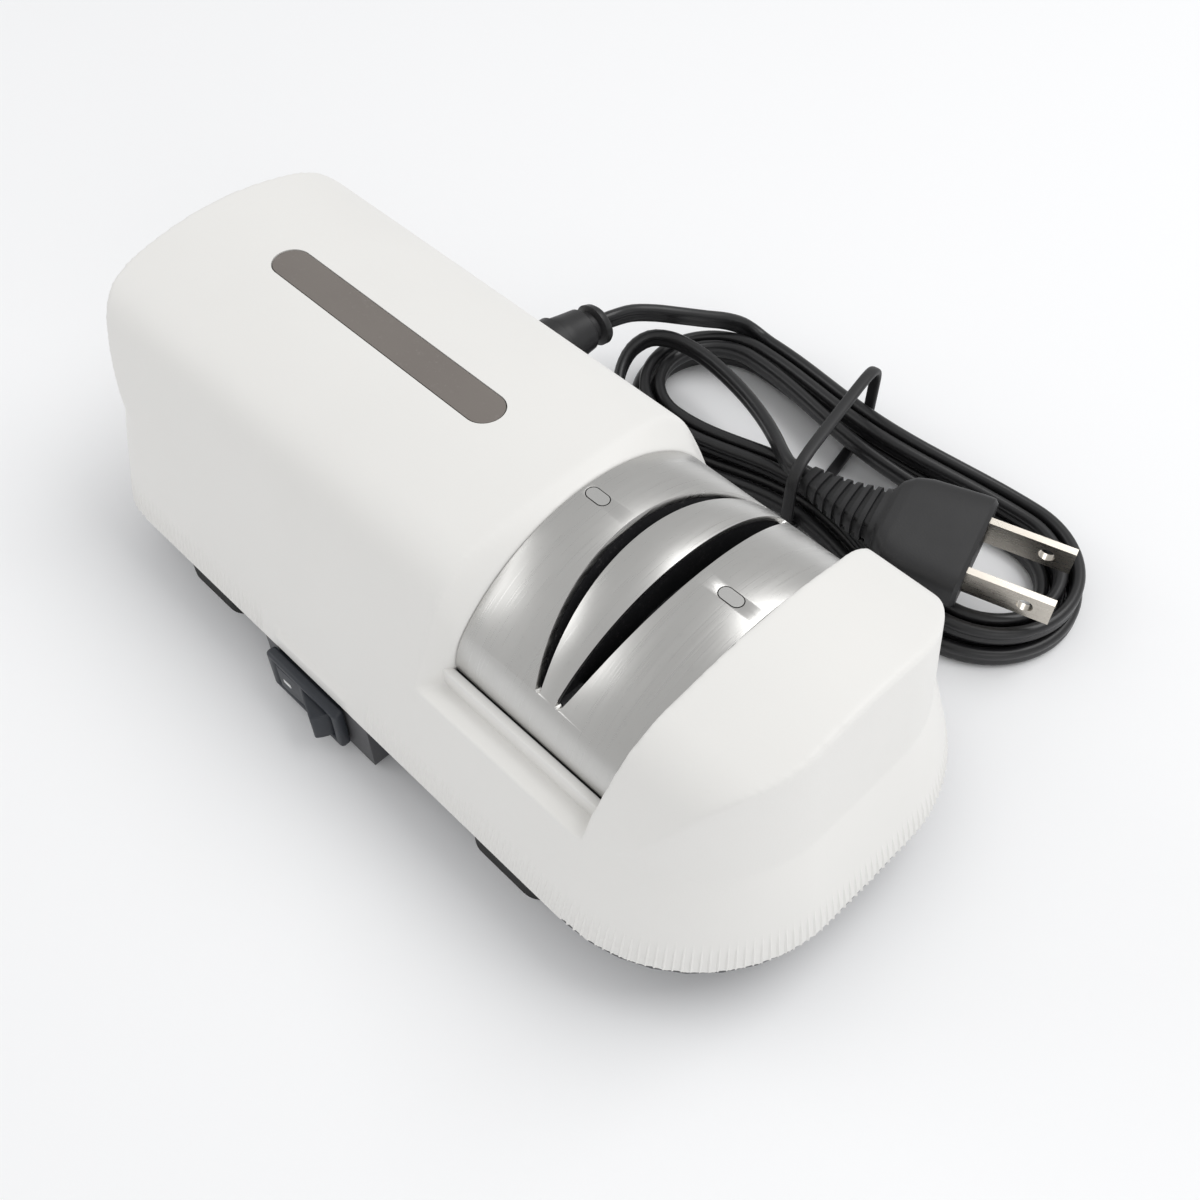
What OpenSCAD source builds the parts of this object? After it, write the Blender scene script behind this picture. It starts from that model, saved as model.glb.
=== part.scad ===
// Electric knife sharpener: an arched moulded housing on a dark base tub, with a steel-clad sharpening bay,
// a grinding wheel on a motor-driven spindle, a rocker switch and a flat mains cord folded into a hank.
// Millimetres. +X points to the sharpening end, -Y is the switch side, +Z is up, z = 0 is the table.

/* [Housing] */
// Width of the housing at its lower edge
body_w = 82; // [78:0.5:88]
// Length of the housing at its lower edge, without the lean of its rear wall
body_l = 163.7; // [155:0.5:175]
// Height of the lower edge of the white housing
lip_z = 13; // [12.5:0.25:14]
// Height of the crown of the housing
crown_z = 57.3; // [56:0.1:60]
// Wall thickness of both mouldings
wall = 2.4; // [2:0.1:3]
// Radius of the shoulders of the arch
shoulder_r = 15; // [12:0.5:18]
// Height from the shoulder centres up to the crown
shoulder_drop = 17.37; // [16.5:0.1:19]
// Distance between the two shoulder centres
shoulder_gap = 31.3; // [28:0.5:36]
// Corner radius of the front end, seen from above
front_r = 30.2; // [26:0.2:34]
// Corner radius of the rear end, seen from above
rear_r = 12.5; // [8:0.5:18]
// Bulge of the front wall
front_bow = 0.7; // [0:0.1:2]
// Lean of the rear wall, outwards at the crown
rear_lean = 6.3; // [3:0.1:8]
// Height at which the front end becomes steeper and leaves the arch as a crease
crease_z = 33; // [28:0.5:36]
// Draft of the front end above the crease
front_draft = 6; // [3:0.5:10]

/* [Sharpening bay] */
// Rear face of the bay, cut down through the arch
bay_x0 = 13.5; // [12:0.25:15]
// Foot of the front face of the bay
bay_x1 = 53.2; // [52:0.1:54]
// Forward lean of the front face of the bay, from its foot to the crown
bay_lean = 2.7; // [1:0.1:3.5]
// Height of the ledges beside the steel cover
ledge_z = 31.5; // [31:0.1:32.5]
// Height of the rails on the ledges, and of the lower edge of the cover
rail_h = 4; // [3:0.25:5]
// Thickness of the rails
rail_t = 1.4; // [1:0.1:2]
// Width of the flange from the arch to the cover
flange_w = 4.7; // [4:0.1:5.5]

/* [Steel cover] */
// Radius of the top of the cover
cover_r = 34; // [32:0.25:36]
// Height of the crown of the cover
cover_crown = 56.4; // [55.8:0.1:57]
// Width of the cover
cover_w = 59; // [57:0.5:60]
// Radius where the top runs into the sides
cover_side_r = 12; // [8:0.5:16]
// Sheet thickness
cover_t = 0.9; // [0.6:0.1:1.2]
// Length of the pill-shaped rivets
tab_l = 4.4; // [3:0.2:6]
// Width of the pill-shaped rivets
tab_w = 2.4; // [1.5:0.1:3]
// Distance of the rivets from the ends of the cover
tab_inset = 3.1; // [2.8:0.1:5]

/* [Knife slots] */
// Distance of the first slot from the rear face of the bay, at the crown
slot_a = 16.5; // [15:0.25:17]
// Width of the first slot at the crown
slot_a_w = 2.9; // [2:0.1:3.4]
// Slant of the first slot towards the wheel, over the height of the slots
slot_a_slant = 6.1; // [4:0.1:7]
// Distance of the second slot from the rear face of the bay, at the crown
slot_b = 27.8; // [26.5:0.1:29]
// Width of the second slot at the crown
slot_b_w = 3.8; // [2.4:0.1:3.9]
// Slant of the second slot towards the wheel
slot_b_slant = 0.6; // [0:0.1:1.5]
// Width of both slots at their lower ends
slot_end_w = 0.9; // [0.7:0.1:1.2]
// Height of the lower ends of the slots in the cover
slot_z = 43.3; // [42.5:0.1:44.5]

/* [Top strip] */
// Length of the strip
strip_l = 60.5; // [50:0.5:62]
// Width of the strip
strip_w = 7.3; // [5:0.1:9]
// Thickness of the strip
strip_t = 0.9; // [0.6:0.1:1.2]
// Distance from the rear end of the lower edge to the strip
strip_inset = 16.1; // [14:0.5:18]

/* [Base tub] */
// Depth of the base below the lower edge of the housing
tub_inset_y = 5; // [4.5:0.25:6]
// Distance of the tub from the front end
tub_front = 13; // [11:0.5:14]
// Distance of the tub from the rear end of the lower edge
tub_rear = 14.7; // [13:0.5:16]
// Height of the feet below the tub
foot_h = 3; // [2.5:0.25:4]
// Length of a foot
foot_l = 20; // [14:0.5:24]
// Width of a foot
foot_w = 9; // [7:0.5:10]
// Thickness of the rim under the lower edge of the housing
rim_t = 1.4; // [1:0.1:2]
// Clearance between parts that only lie against each other
gap = 0.15; // [0.1:0.05:0.25]
// Diameter of the housing screws
screw_d = 3; // [2.5:0.1:3.5]
// Diameter of the screw posts
post_d = 8; // [7.5:0.5:9]

/* [Spindle] */
// Height of the spindle and motor axis
axis_z = 26.5; // [26:0.1:27]
// Diameter of the grinding wheel
wheel_d = 40; // [36:0.5:41]
// Thickness of the grinding wheel
wheel_t = 3; // [2.6:0.1:3.2]
// Diameter of the spindle
spindle_d = 6; // [5:0.25:7]
// Radial clearance of the spindle in its bushes and of the motor shaft
run_fit = 0.05; // [0.03:0.01:0.08]
// Outer diameter of the bushes
bush_d = 10; // [9:0.25:11]
// Thickness of the bearing brackets
bracket_t = 5; // [4:0.25:6]
// Width of the bearing brackets
bracket_w = 26; // [22:0.5:30]
// Length of the coupling
coupling_l = 10; // [8:0.5:10.5]

/* [Motor] */
// Diameter of the motor
motor_d = 36; // [32:0.5:36.5]
// Length of the motor's can
motor_l = 40; // [34:0.5:41]
// Diameter of the motor's shaft
motor_shaft_d = 4; // [3:0.25:4.5]
// Thickness of the motor's mounting plate
mount_t = 2.5; // [2:0.1:3]

/* [Switch] */
// Length of the switch frame
switch_l = 21; // [20:0.25:22]
// Height of the switch frame
switch_h = 10.3; // [9.6:0.1:10.5]
// How far the frame stands off the housing
switch_proud = 2.3; // [1.6:0.1:3]
// Position of the switch's centre along the housing
switch_x = -12.5; // [-20:0.5:-8]
// Radius swept by the ends of the rocker
rocker_r = 8.2; // [7.6:0.1:8.2]
// Height of the rocker
rocker_h = 6.8; // [6:0.1:7]
// Angle between the rocker's two rest positions
rocker_swing = 22; // [16:1:24]
// Radial clearance of the rocker's pins
pin_fit = 0.05; // [0.03:0.01:0.08]
// Diameter of the rocker's pins
pin_d = 2; // [1.6:0.1:2.4]

/* [Mains cord] */
// Width of the flat cord
cord_w = 4.2; // [3.8:0.1:4.3]
// Thickness of the flat cord
cord_t = 2.5; // [2.2:0.1:2.6]
// Position of the cord gland along the housing
gland_x = -38; // [-42:0.5:-30]
// Height of the cord gland
gland_z = 21.5; // [20:0.25:23]
// Diameter of the gland's neck
gland_d = 9; // [8:0.25:10]
// Radius of the outermost fold of the hank
fold_r = 18.6; // [18:0.1:20]
// Length of the hank's straight runs
run_l = 72; // [66:1:76]
// How far the runs are drawn in at the waist, each side
waist = 5; // [3:0.1:5.2]
// Distance between neighbouring strands
strand_step = 3.3; // [3.25:0.05:3.4]
// Width of the plug
plug_w = 24; // [20:0.5:26]
// Length of the plug's body
plug_l = 19; // [16:0.5:20]
// Thickness of the plug
plug_t = 10; // [9:0.5:10.5]
// Length of the blades
blade_l = 17; // [15.9:0.1:18.3]

/* [Hidden] */
$fn = 48;
e = 0.01;
// Distance between the centres of the plug's two blades, as mains sockets have it
blade_gap = 12.7;

// ---- Derived sizes of the housing ----
half_w = body_w / 2;
front_x = body_l / 2 + rear_lean / 2;
rear_x = front_x - body_l;
sh_y = shoulder_gap / 2;
sh_z = crown_z - shoulder_drop;
crown_r = (sh_y * sh_y + shoulder_drop * shoulder_drop - shoulder_r * shoulder_r)
    / (2 * (shoulder_drop - shoulder_r));
crown_a = atan2(sh_y, crown_r - shoulder_drop);
wall_a = 64;
wall_n = [sin(wall_a), cos(wall_a)];
wall_v = [half_w - sh_y, lip_z - sh_z];
side_r = (wall_v * wall_v + shoulder_r * shoulder_r - 2 * shoulder_r * (wall_v * wall_n))
    / (2 * (shoulder_r - wall_v * wall_n));
side_y = sh_y - (side_r - shoulder_r) * wall_n[0];
side_z = sh_z - (side_r - shoulder_r) * wall_n[1];

// Half width of the arch at height z, taken in by d
function half_width(z, d) =
    z >= sh_z + (shoulder_r - d) * cos(crown_a) ? sqrt(max(0, pow(crown_r - d, 2) - pow(z - crown_z + crown_r, 2)))
    : z >= sh_z + (shoulder_r - d) * cos(wall_a) ? sh_y + sqrt(pow(shoulder_r - d, 2) - pow(z - sh_z, 2))
    : side_y + sqrt(pow(side_r - d, 2) - pow(z - side_z, 2));

// How far the front end stands back at height z
function set_back(z) = half_w - half_width(min(z, crease_z), 0) + max(0, z - crease_z) * tan(front_draft);

front_cy = half_w - front_r;
front_cx = front_x - front_bow - front_r;

// Front end and rear end of the plan at height z and distance y from the middle, taken in by d
function front_end(z, y, d) =
    let (r = front_r - set_back(z) - d, a = max(0, abs(y) - front_cy))
    front_cx + sqrt(max(0, r * r - a * a)) + front_bow * (1 + cos(180 * y / half_w)) / 2;
function rear_end(z, y, d) =
    let (c = half_w - set_back(min(z, crease_z)) - rear_r, a = max(0, abs(y) - c), r = rear_r - d)
    rear_x - rear_lean * (z - lip_z) / (crown_z - lip_z) + rear_r - sqrt(max(0, r * r - a * a));

// One level of the housing, as a closed outline with n points a quarter
function level(z, d, n) =
    let (w = half_width(z, d))
    concat([for (k = [-n:n]) let (y = w * sin(90 * k / n)) [front_end(z, y, d), y, z]],
        [for (k = [-n:n]) let (y = -w * sin(90 * k / n)) [rear_end(z, y, d), y, z]]);

// Heights of the levels: up the wall, over the shoulder and over the crown
function level_heights(d, foot, nw, ns, nc) =
    let (zs = sh_z + (shoulder_r - d) * cos(wall_a))
    concat([for (k = [0:nw]) foot + (crease_z - foot) * k / nw],
        [for (k = [1:nw]) crease_z + (zs - crease_z) * k / nw],
        [for (k = [1:ns]) sh_z + (shoulder_r - d) * cos(wall_a + (crown_a - wall_a) * k / ns)],
        [for (k = [1:nc]) crown_z - crown_r + (crown_r - d) * cos(crown_a * (1 - 0.9 * k / nc))]);

// Solid between closed outlines of equal length, stacked one on another
module loft(rings) {
    n = len(rings[0]);
    m = len(rings);
    points = [for (r = rings) each r];
    sides = [for (i = [0:m - 2], j = [0:n - 1])
        each [[i * n + j, (i + 1) * n + j, i * n + (j + 1) % n],
            [i * n + (j + 1) % n, (i + 1) * n + j, (i + 1) * n + (j + 1) % n]]];
    polyhedron(points, concat(sides, [[for (j = [0:n - 1]) j]], [[for (j = [n - 1:-1:0]) (m - 1) * n + j]]));
}

// The whole form of the housing, taken in by d
module housing_form(d, foot, n, nw, ns, nc) {
    loft([for (z = level_heights(d, foot, nw, ns, nc)) level(z, d, n)]);
}

// ---- Derived sizes of the bay, cover and slots ----
bay_front_top = bay_x1 + bay_lean;
cover_x0 = bay_x0 + flange_w;
cover_foot = ledge_z + rail_h;
cover_cz = cover_crown - cover_r;
side_cy = cover_w / 2 - cover_side_r;
side_cz = cover_cz + sqrt(pow(cover_r - cover_side_r, 2) - side_cy * side_cy);
side_a = atan2(side_cy, side_cz - cover_cz);

// Outline of the cover's arch in YZ, taken in by d, from its right foot over the crown to its left foot
function arch(d, foot) =
    let (low = foot > side_cz ? acos((foot - side_cz) / (cover_side_r - d)) : 90,
        half = concat([[side_cy + (cover_side_r - d) * sin(low), foot - (low < 90 ? 0.01 : 0)]],
        [for (k = [0:5]) let (a = low + (side_a - low) * k / 5)
            [side_cy + (cover_side_r - d) * sin(a), side_cz + (cover_side_r - d) * cos(a)]],
        [for (k = [1:12]) let (a = side_a * (1 - k / 12))
            [(cover_r - d) * sin(a), cover_cz + (cover_r - d) * cos(a)]]))
    concat(half, [for (k = [len(half) - 2:-1:0]) [-half[k][0], half[k][1]]]);

// Prism of a YZ outline between two places along X
module along_x(x0, x1) {
    translate([x0, 0, 0]) rotate([90, 0, 90]) linear_extrude(x1 - x0) children();
}
// Prism of an XZ outline between -w and w across the part
module along_y(w) {
    translate([0, w, 0]) rotate([90, 0, 0]) linear_extrude(2 * w) children();
}
// Place along X of the bay's front face at height z
function bay_front(z) = bay_x1 + bay_lean * max(0, z - cover_foot) / (crown_z - cover_foot);

// Outline of the bay in XZ, from a height up to above the crown, taken in by d at its front
module bay_outline(x0, foot, d) {
    top = crown_z + 5;
    polygon([[x0, foot], [bay_x1 - d, foot], [bay_x1 - d, cover_foot], [bay_front(top) - d, top], [x0, top]]);
}

slot_ax = bay_x0 + slot_a;
slot_bx = bay_x0 + slot_b;
slot_a_end = slot_ax + slot_a_slant - slot_a_w / 2;
slot_b_end = slot_bx - slot_b_slant;

// The two slots in XZ: wide at the crown, narrow below, both slanting towards the wheel between them.
// Each is [rear edge at the crown, width at the crown, rear edge at its lower end].
slots = [[slot_ax - slot_a_w / 2, slot_a_w, slot_a_end], [slot_bx - slot_b_w / 2, slot_b_w, slot_b_end - slot_b_w / 2]];

// Rear and front edge of slot s at height z; g widens it on both sides
function slot_rear(s, z, g) = s[0] + (s[2] - s[0]) * (cover_crown - z) / (cover_crown - slot_z) - g;
function slot_front(s, z, g) =
    let (u = (cover_crown - z) / (cover_crown - slot_z))
    slot_rear(s, z, -g) + slot_end_w + (s[1] - slot_end_w) * pow(max(0, 1 - u), 0.7);
module slot_outline(s, foot, g) {
    top = cover_crown + 1;
    polygon(concat([[slot_rear(s, foot, g), foot], [slot_rear(s, top, g), top], [slot_rear(s, top, 0) + s[1] + g, top]],
        [for (k = [0:6]) let (z = cover_crown + (slot_z - cover_crown) * k / 6) [slot_front(s, z, g), z]],
        foot < slot_z ? [[slot_front(s, foot, g), foot]] : []));
}
wheel_x = (slot_front(slots[0], slot_z, 0) + slot_rear(slots[1], slot_z, 0)) / 2;

// ---- Derived sizes of the base ----
tub_x0 = rear_x + tub_rear;
tub_x1 = front_x - tub_front;
tub_w = body_w - 2 * tub_inset_y;
tub_floor = foot_h + wall;
tub_rr = rear_r - 2;
tub_fr = front_r - tub_inset_y;
foot_y = half_w - 7.2;
foot_xy = [[tub_x0 + 13, foot_y], [tub_x1 - 36, foot_y]];
// The rear screw posts stand inside the feet
boss_xy = [[tub_x0 + 8.5, foot_y - foot_w / 2 - post_d / 2 - 0.9], [tub_x1 - 9, tub_w / 2 - 15]];

foot_in = 1.4;

// Plan of the tub, taken in by d: large corners in front, small ones at the rear
module tub_plan(d) {
    fr = tub_fr - d;
    rr = tub_rr - d;
    for (s = [-1, 1]) {
        translate([tub_x1 - tub_fr, s * (tub_w / 2 - tub_fr)]) circle(fr);
        translate([tub_x0 + tub_rr, s * (tub_w / 2 - tub_rr)]) circle(rr);
    }
    translate([tub_x0 + tub_rr, -tub_w / 2 + d]) square([tub_x1 - tub_fr - tub_x0 - tub_rr, tub_w - 2 * d]);
    translate([tub_x0 + d, -tub_w / 2 + tub_rr]) square([tub_rr, tub_w - 2 * tub_rr]);
    translate([tub_x1 - tub_fr - e, -tub_w / 2 + tub_fr]) square([tub_fr - d + e, tub_w - 2 * tub_fr]);
}

// ---- Upper housing ----
// The nut bears on the wall with its upper corners
nut_d = gland_d + 6.5;
gland_in = half_width(gland_z + nut_d / 2, wall) - 0.77;
gland_out = half_w + 0.3;
gland_boss_d = gland_d + 7;
pad_h = 4.4;
pad_x0 = switch_x - switch_l / 2 + 1.3;
boss_foot = lip_z;

module upper_housing() {
    color("ivory") difference() {
        shell();
        translate([gland_x, half_w + 9, gland_z]) rotate([90, 0, 0]) cylinder(d = gland_d + 2 * gap, h = 20);
        for (p = boss_xy, s = [-1, 1]) {
            translate([p[0], s * p[1], lip_z - 1]) cylinder(d = screw_d - 0.4, h = 15, $fn = 24);
        }
    }
}

// The moulding without its round holes, trimmed to the length over its crown
module shell() {
    resize([body_l + rear_lean, 0, 0]) union() {
        difference() {
            union() {
                housing_form(0, lip_z, 10, 4, 6, 4);
                translate([pad_x0, -half_w, lip_z]) cube([switch_l, 4, pad_h]);
                translate([gland_x, gland_out, gland_z]) rotate([90, 0, 0]) cylinder(d = gland_boss_d, h = 4);
            }
            cavity();
            difference() {
                along_y(half_w + 5) bay_outline(bay_x0, ledge_z, 0);
                flange();
            }
            translate([cover_x0 + gap, 3 - cover_w / 2, axis_z]) cube([bay_x1 - cover_x0 - 2 * gap, cover_w - 6, 10]);
            translate([strip_x0 - gap, 0, crown_z - strip_t - 3 * gap]) strip_form(strip_t + 5, gap);
        }
        for (s = [-1, 1]) {
            translate([bay_x0 + 0.5, s * (cover_w / 2 + 0.4) + (s > 0 ? 0 : -rail_t), ledge_z - 1])
                cube([bay_x1 - bay_x0 + 0.5, rail_t, rail_h + 1]);
        }
    }
}

// The hollow of the housing: the rear room, the space under the bay and the front room
module cavity() {
    difference() {
        housing_form(wall, lip_z - 1, 7, 3, 4, 3);
        along_y(half_w + 5) polygon([[bay_x0 - wall, ledge_z - wall], [bay_x1 + wall, ledge_z - wall],
            [bay_x1 + wall, cover_foot], [bay_front(crown_z + 5) + wall, crown_z + 5], [bay_x0 - wall, crown_z + 5]]);
        for (p = boss_xy, s = [-1, 1]) {
            translate([p[0], s * p[1], boss_foot]) cylinder(d = post_d, h = crown_z);
        }
        translate([gland_x, half_w, gland_z]) rotate([90, 0, 0])
            cylinder(d = gland_boss_d, h = half_w - gland_in);
    }
    // Passage through the rear wall of the bay, and the notch under the front one for the spindle
    along_x(bay_x0 - wall - 1, cover_x0 + 1) intersection() {
        polygon(arch(3.4, ledge_z - wall - 1));
        translate([-half_w, 0]) square([body_w, crown_z]);
    }
    along_x(bay_x1 - 1, bay_x1 + wall + 1) {
        translate([0, axis_z]) circle(d = spindle_d + 6);
    }
}

// Flange that slopes from the arch of the rear part down to the outline of the cover
module flange() {
    hull() {
        along_x(bay_x0 - flange_land, bay_x0) arch_section(ledge_z - wall);
        along_x(cover_x0 - flange_land, cover_x0) polygon(arch(0, ledge_z - wall));
    }
}
flange_land = 0.4;
flange_lip = 0.3;
// Section of the arch above a height, a little proud so that the slope starts on the arch itself
module arch_section(foot) {
    zs = concat([foot], [for (z = level_heights(0, lip_z, 4, 6, 4)) if (z > foot + 0.5) z]);
    polygon(concat([for (z = zs) [half_width(z, -flange_lip), z + flange_lip]],
        [for (k = [len(zs) - 1:-1:0]) [-half_width(zs[k], -flange_lip), zs[k] + flange_lip]]));
}

// ---- Strip in the crown ----
strip_x0 = rear_x + strip_inset;

// A bar with round ends that starts at x = 0; g makes it larger all round
module strip_form(h, g) {
    linear_extrude(h) {
        translate([strip_w / 2 + g, 0]) circle(strip_w / 2 + g);
        translate([strip_l - strip_w / 2 + g, 0]) circle(strip_w / 2 + g);
        translate([strip_w / 2 + g, -strip_w / 2 - g]) square([strip_l - strip_w, strip_w + 2 * g]);
    }
}
module top_strip() {
    color("tan") translate([strip_x0, 0, crown_z - strip_t - 0.15]) strip_form(strip_t, 0);
}

// ---- Steel cover ----
module steel_cover() {
    color("lightgray") difference() {
        intersection() {
            along_x(cover_x0 + gap, bay_front_top + 1) difference() {
                polygon(arch(0, cover_foot + gap));
                polygon(arch(cover_t, cover_foot - 1));
            }
            along_y(half_w) bay_outline(cover_x0 + gap, cover_foot, gap);
        }
        for (s = slots) along_y(cover_w) slot_outline(s, slot_z, 0);
        for (x = tab_x) pill(x, cover_crown - 4, 6, gap);
    }
}

tab_x = [cover_x0 + tab_inset, bay_x1 - tab_inset - 0.4];

// A pill-shaped bar along X that stands on z
module pill(x, z, h, g) {
    translate([x, 0, z]) linear_extrude(h) {
        for (s = [-1, 1]) translate([s * (tab_l - tab_w) / 2, 0]) circle(tab_w / 2 + g, $fn = 24);
        translate([-(tab_l - tab_w) / 2, -tab_w / 2 - g]) square([tab_l - tab_w, tab_w + 2 * g]);
    }
}
module cover_tabs() {
    color("silver") for (x = tab_x) {
        pill(x, cover_crown - cover_t, cover_t, 0);
        translate([x, 0, cover_crown - cover_t - 2.5]) cylinder(d = 1.6, h = 2.5 + e, $fn = 24);
    }
}

// ---- Slot guide ----
guide_t = 2.6;
guide_top = cover_t + 0.2;
cheek_foot = axis_z + 8;

module slot_guide() {
    color("#222222") difference() {
        union() {
            intersection() {
                along_x(cover_x0 + 2 * gap, bay_front_top) difference() {
                    polygon(arch(guide_top, ledge_z));
                    polygon(arch(guide_top + guide_t, ledge_z - 1));
                }
                along_y(half_w) bay_outline(cover_x0 + 2 * gap, ledge_z, 2 * gap);
            }
            // Feet under the lower edges of the cover
            for (s = [-1, 1]) {
                translate([cover_x0 + 2 * gap, s > 0 ? cover_w / 2 - 3.5 : -cover_w / 2, ledge_z])
                    cube([bay_x1 - cover_x0 - 4 * gap, 3.5, rail_h - gap]);
            }
            // Cheeks behind the first slot and in front of the second, and the wedge between them
            intersection() {
                along_x(cover_x0, bay_front_top) polygon(arch(guide_top + guide_t / 2, cheek_foot));
                along_y(cover_w / 2 - 3) polygon([
                    [slot_rear(slots[0], cheek_foot, 2.4), cheek_foot], [slot_rear(slots[0], cover_crown, 2.4), cover_crown],
                    [slot_ax + slot_b_w + 14.5, cover_crown], [slot_front(slots[1], cheek_foot, 2.4), cheek_foot]]);
            }
        }
        for (s = slots) along_y(cover_w) slot_outline(s, slot_z, 0.25);
        for (s = slots) along_y(cover_w / 2 - 9) slot_outline(s, cheek_foot - 1, 0.25);
        // Chamber of the wheel and its flanges
        translate([wheel_x - wheel_t / 2 - 0.9, 0, axis_z]) rotate([0, 90, 0]) cylinder(d = wheel_d + 3, h = wheel_t + 1.8);
        translate([wheel_x - 6, 0, axis_z]) rotate([0, 90, 0]) cylinder(d = 22, h = 12);
        for (x = tab_x) translate([x, 0, cover_crown - 5]) cylinder(d = 1.6 + 2 * gap, h = 6, $fn = 24);
    }
}

// ---- Spindle ----
flange_t = 2.2;
spindle_r = spindle_d / 2;
coupling_x = -9;
spindle_x0 = coupling_x + coupling_l / 2 + 0.2;
rear_bracket_x = 5.8;
front_bracket_x = bay_x1 + wall + 1.6;
spindle_x1 = front_bracket_x + bracket_t + 2.6;

// A turned part along the spindle axis: outer and bore diameters
module turned(x, l, d, bore) {
    translate([x, 0, axis_z]) rotate([0, 90, 0]) difference() {
        cylinder(d = d, h = l);
        if (bore > 0) translate([0, 0, -1]) cylinder(d = bore, h = l + 2);
    }
}
module grinding_wheel() {
    color("dimgray") translate([wheel_x, 0, axis_z]) rotate([0, 90, 0]) rotate_extrude($fn = 72) {
        polygon([[spindle_r + 0.02, -wheel_t / 2], [wheel_d / 2 - 6, -wheel_t / 2], [wheel_d / 2, -wheel_t / 2 + 0.5],
            [wheel_d / 2, wheel_t / 2 - 0.5], [wheel_d / 2 - 6, wheel_t / 2], [spindle_r + 0.02, wheel_t / 2]]);
    }
}
module wheel_flanges() {
    color("silver") for (s = [-1, 1]) {
        turned(wheel_x + (s > 0 ? wheel_t / 2 : -wheel_t / 2 - flange_t), flange_t, 18, spindle_d + 0.04);
    }
}
module spindle_shaft() {
    color("silver") turned(spindle_x0, spindle_x1 - spindle_x0, spindle_d, 0);
}
clip_t = 0.8;
bush_lip = 1.2;
clip_x = [rear_bracket_x - bush_lip - clip_t - gap, front_bracket_x + bracket_t + bush_lip + gap];
module shaft_clips() {
    color("gray") for (x = clip_x) turned(x, clip_t, spindle_d + 4, spindle_d + 0.04);
}
module shaft_coupling() {
    color("dimgray") difference() {
        turned(coupling_x, coupling_l, 13, 0);
        turned(coupling_x - 1, coupling_l / 2 + 1, motor_shaft_d + 0.04, 0);
        turned(coupling_x + coupling_l / 2, coupling_l, spindle_d + 0.04, 0);
    }
}

// ---- Bearings ----
// The foot reaches past the upright plate by the head of its screws
bracket_foot = bracket_t + 4.8;

// Upright plate with a round head round the bush, on a flange that is screwed to the floor
module bracket(x, side) {
    foot_x = side > 0 ? x : x - bracket_foot + bracket_t;
    difference() {
        union() {
            translate([x, -bracket_w / 2, tub_floor]) cube([bracket_t, bracket_w, axis_z - tub_floor - 8]);
            turned(x, bracket_t, bush_d + 9, 0);
            translate([x, -bush_d / 2 - 4.5, tub_floor]) cube([bracket_t, bush_d + 9, axis_z - tub_floor]);
            translate([foot_x, -bracket_w / 2, tub_floor]) cube([bracket_foot, bracket_w, 3]);
        }
        turned(x - 1, bracket_t + 2, bush_d + 0.04, 0);
        for (s = [-1, 1]) {
            translate([foot_x + (side > 0 ? bracket_foot - 2.2 : 2.2), s * (bracket_w / 2 - 4), tub_floor - 1])
                cylinder(d = 2.4, h = 5, $fn = 24);
        }
    }
}
module rear_bracket() {
    color("slategray") bracket(rear_bracket_x, 1);
}
module front_bracket() {
    color("slategray") bracket(front_bracket_x, 1);
}
module bearing_bushes() {
    color("goldenrod") {
        bush(rear_bracket_x, -1);
        bush(front_bracket_x, 1);
    }
}
module bush(x, side) {
    bore = spindle_d + 2 * run_fit;
    difference() {
        union() {
            turned(x, bracket_t, bush_d, 0);
            turned(side > 0 ? x + bracket_t : x - bush_lip, bush_lip, bush_d + 3, 0);
        }
        turned(x - bush_lip - 1, bracket_t + 2 * bush_lip + 2, bore, 0);
    }
}
module bracket_screws() {
    color("silver") {
        for (x = [rear_bracket_x, front_bracket_x], s = [-1, 1]) {
            floor_screw(x + bracket_foot - 2.2, s * (bracket_w / 2 - 4), tub_floor + 3, 4.6);
        }
        for (s = [-1, 1]) floor_screw(mount_x + mount_foot - 3.5, s * 12, tub_floor + 2, 3.6);
        for (s = [-1, 1]) floor_screw(saddle_x + saddle_l / 2, s * (saddle_w / 2 - 3.5), saddle_top + strap_t, 6);
    }
}
// A pan-head screw whose head stands on z
module floor_screw(x, y, z, depth) {
    translate([x, y, z]) {
        difference() {
            cylinder(d = 4, h = 1.5, $fn = 24);
            translate([-2.5, -0.3, 0.9]) cube([5, 0.6, 1]);
        }
        translate([0, 0, -depth]) cylinder(d = 2.2, h = depth + e, $fn = 24);
    }
}

// ---- Motor ----
mount_x = coupling_x - 3.5;
mount_foot = 9;
motor_x1 = mount_x - mount_t;
motor_x0 = motor_x1 - motor_l;
bell_l = 5;
neck_d = 10;
saddle_l = 9;
saddle_x = motor_x0 + 8;
saddle_w = motor_d + 14;
saddle_top = axis_z - 6;
strap_t = 1;

module motor_can() {
    color("silver") difference() {
        union() {
            turned(motor_x0, motor_l, motor_d, 0);
            turned(motor_x1 - e, mount_t + 1.2, neck_d, 0);
        }
        turned(motor_x0 - 1, motor_l + mount_t + 5, motor_shaft_d + 2 * run_fit, 0);
        for (s = [-1, 1]) {
            translate([motor_x1 - 4, s * 11, axis_z]) rotate([0, 90, 0]) cylinder(d = 2.6, h = 6, $fn = 24);
        }
    }
}
module motor_end_bell() {
    color("#303840") difference() {
        union() {
            turned(motor_x0 - bell_l, bell_l, motor_d - 2, 0);
            turned(motor_x0 - bell_l - 3, 3 + e, neck_d, 0);
        }
        turned(motor_x0 - bell_l - 4, bell_l + 6, motor_shaft_d + 2 * run_fit, 0);
        for (s = [-1, 1]) {
            translate([motor_x0 - bell_l - 1, s * 11 - 3, axis_z + 5]) cube([3, 6, 2.6]);
        }
    }
}
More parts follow.
